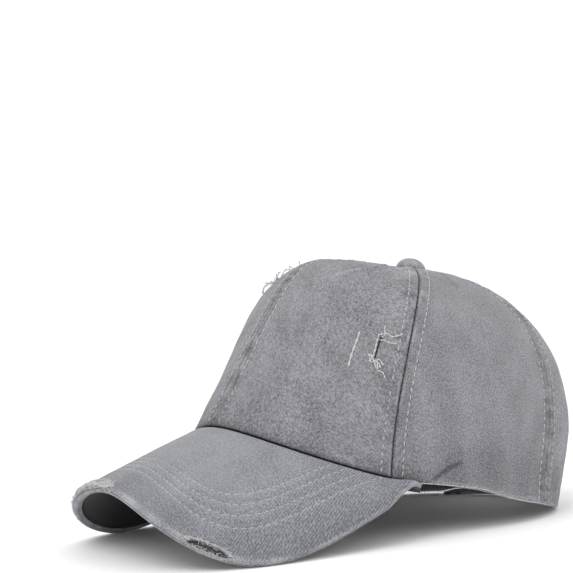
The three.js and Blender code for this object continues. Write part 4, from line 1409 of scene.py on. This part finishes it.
# The slit is drawn as a flat dark tube along the cut: a painted shadow where the cloth opens.
SLIT = {"radius": 0.5, "lift": 0.1, "places": [(52.0, 0.415), (51.7, 0.39), (51.6, 0.36), (51.5, 0.328)]}
thread_piece("pulled_threads", [pulled_thread(row) for row in PULLED + LOOPS], frayed_yarn)
slit_shadow = plain("shadow in the slit", "#242426", 1.0)
thread_piece("slit_painted_shadow", [pulled_thread(SLIT)], slit_shadow)

# %% [markdown]
# ## Frays
# Where the cloth is worn through, yarns lie along the lip of the hole, hang from it or curl into a knot.
# Each kind is drawn with a seeded generator, as short curved hairs joined into one mesh.

# %% Frays of the brim's edge
BRIM_PLAN = 70 * MM       # rough length from the crown to the edge


def edge_point(u, past, lift):
    """A point by the brim's edge: past is negative on the face and positive round the fold."""
    turn = np.clip(past / EDGE_FOLD, 0, 1) * math.pi / 2
    v = 1 + np.minimum(past, 0) / BRIM_PLAN
    below = EDGE_MIDDLE * (1 - np.cos(turn)) - lift * np.cos(turn)
    return brim(u, v, below, (LIP + lift) * np.sin(turn))


def hairs(draw, u, past, heading, reach, radius, curl=0.9):
    """Short curling yarns from places by the edge; heading is their turn from straight outward."""
    t = np.linspace(0, 1, 7)
    count = len(u)
    curl = draw.normal(0, curl, (count, 1)) * t
    step = reach * draw.uniform(0.35, 1, (count, 1)) / (len(t) - 1)
    start, bent = heading[:, None], heading[:, None] + curl
    across = (np.cumsum(np.sin(bent), 1) - np.sin(start)) * step
    ahead = (np.cumsum(np.cos(bent), 1) - np.cos(start)) * step
    lift = draw.uniform(0.1, 0.9, (count, 1)) * MM * np.sin(t * math.pi * 0.7) + 0.1 * MM
    lines = edge_point(u[:, None] + across / (2 * EDGE_LENGTH), past[:, None] + ahead, lift)
    ups = unit(edge_point(u[:, None], past[:, None], MM) - edge_point(u[:, None], past[:, None], 0 * MM))
    radii = radius * draw.uniform(0.6, 1.2, (count, 1)) * (1.1 - 0.7 * t)
    return lines, ups + 0 * lines, radii


# %% Tears and fuzz
def tear_frays(row):
    """Yarns round a tear: long ones lie along its lip, short ones tangle or stand out."""
    draw = np.random.default_rng(row["seed"] + 300)
    count = int(2600 * row["half"])
    turn = math.pi * (1 + draw.uniform(-0.04, 1.04, count))
    u = row["across"] + row["half"] * 1.02 * np.cos(turn)
    past = row["inside"] * np.sin(turn) - draw.uniform(0.0, 0.5, count) * MM
    heading = math.pi / 2 * draw.choice([-1, 1], count) + draw.normal(0, 0.15 + 0.8 * row["tangle"], count)
    lip = hairs(draw, u, past, heading, 2.2 * MM, 0.17 * MM, curl=0.35)
    count = int(800 * row["half"])
    u = row["across"] + row["half"] * draw.uniform(-1, 1, count)
    past = row["outside"] + draw.uniform(-0.4, 1.0, count) * MM
    fringe = hairs(draw, u, past, draw.normal(0, 0.8, count), 2.2 * MM, 0.15 * MM)
    count = int(4000 * row["half"] * (row["tangle"] - 0.1))
    u = row["across"] + row["half"] * draw.uniform(-0.9, 0.9, count)
    past = draw.uniform(-2.8, 1.6, count) * MM
    return [lip, fringe, hairs(draw, u, past, draw.uniform(-math.pi, math.pi, count), 4.0 * MM, 0.28 * MM)]


def edge_fuzz(count, low, high, reach):
    draw = np.random.default_rng(count)
    u = draw.uniform(low, high, count)
    past = draw.normal(1.4, 0.8, count) * MM
    return hairs(draw, u, past, draw.normal(0, 1.2, count), reach, 0.1 * MM)


bundles = [b for row in TEARS for b in tear_frays(row)]
bundles += [edge_fuzz(500, -0.93, 0.93, 1.0 * MM), edge_fuzz(46, -0.56, -0.47, 3.2 * MM),
            edge_fuzz(44, 0.4, 0.5, 3.4 * MM)]
thread_piece("brim_frays", bundles, frayed_yarn)


# %% [markdown]
# ## Edges
# The top cloth is turned a few millimetres under the brim, and the rim is closed with a tight overlock
# stitch that shows as a pale line. Both end the cloth as a sewer would, with no bare cut.

# %% The brim's turned edge and the rim's
TURN_UNDER, TURN_ROWS = 2.6 * MM, 9


def turned_edge():
    """The top cloth's edge, turned under the brim and sewn down."""
    across = np.linspace(-0.97, 0.97, 300)
    turn = np.radians(np.concatenate([np.zeros(TURN_ROWS), LIP_TURN]))
    inward = np.concatenate([np.linspace(TURN_UNDER, 0, TURN_ROWS), np.zeros(len(LIP_TURN))])
    d, u = np.meshgrid(inward, across, indexing="ij")
    turn = turn[:, None] + 0 * u
    reach = length(brim_face(u, 1.0) - brim_face(u, 0.9)) / 0.1
    v = 1 - d / np.maximum(reach, 8 * MM)
    over, inside = 0.45 * MM, 0.05 * MM     # it lies over the under cloth and reaches a little into it
    rolled = 1 - np.cos(turn)
    draw_in = rounding(TURN_UNDER - d, 0.25 * MM)
    low = brim(u, v, BRIM_FULL + over - draw_in - (EDGE_MIDDLE + over) * rolled,
               (LIP + 0.12 * MM) * np.sin(turn))
    top = brim(u, v, BRIM_FULL - inside - (EDGE_MIDDLE - inside) * rolled, LIP * 0.9 * np.sin(turn))
    keep = ~torn(u, EDGE_FOLD + d)[:-1, :-1]
    wear_and_shade = 0.1 + 0.5 * hump(d, 2.2 * MM, 0.5 * MM) + 0.3 * ripple(u * EDGE_LENGTH, d, 6 * MM, 61)
    sheet("brim_turned_edge", low, top, point(u * 90 * MM, d, 5.1), wear_and_shade, brim_twill, [], keep)


turned_edge()


def rim_edge(side):
    """The close overlock stitch that shows as a pale line under the crown's edge."""
    b = side * np.linspace(66, 120, 400)
    return dashes(lambda lift: crown(b, -0.002, lift - 0.45 * MM), 210 + side, pitch=1.4 * MM, fill=0.95,
                  thread=0.3 * MM)


thread_piece("rim_overlock", [rim_edge(1), rim_edge(-1)], stitch_thread)

# %% [markdown]
# ## Size
# The dressed cap may stand only a little outside the solids. Both boxes are kept side by side,
# and how far the dressed cap grew past the solids is printed.

# %% Size of what was made
MADE_BOX = [list(corner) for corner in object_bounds()]
grown = [round((b - a) / MM, 1) for a, b in zip(CAD_BOX[0] + CAD_BOX[1], MADE_BOX[0] + MADE_BOX[1])]
print("grew by", grown, "mm")
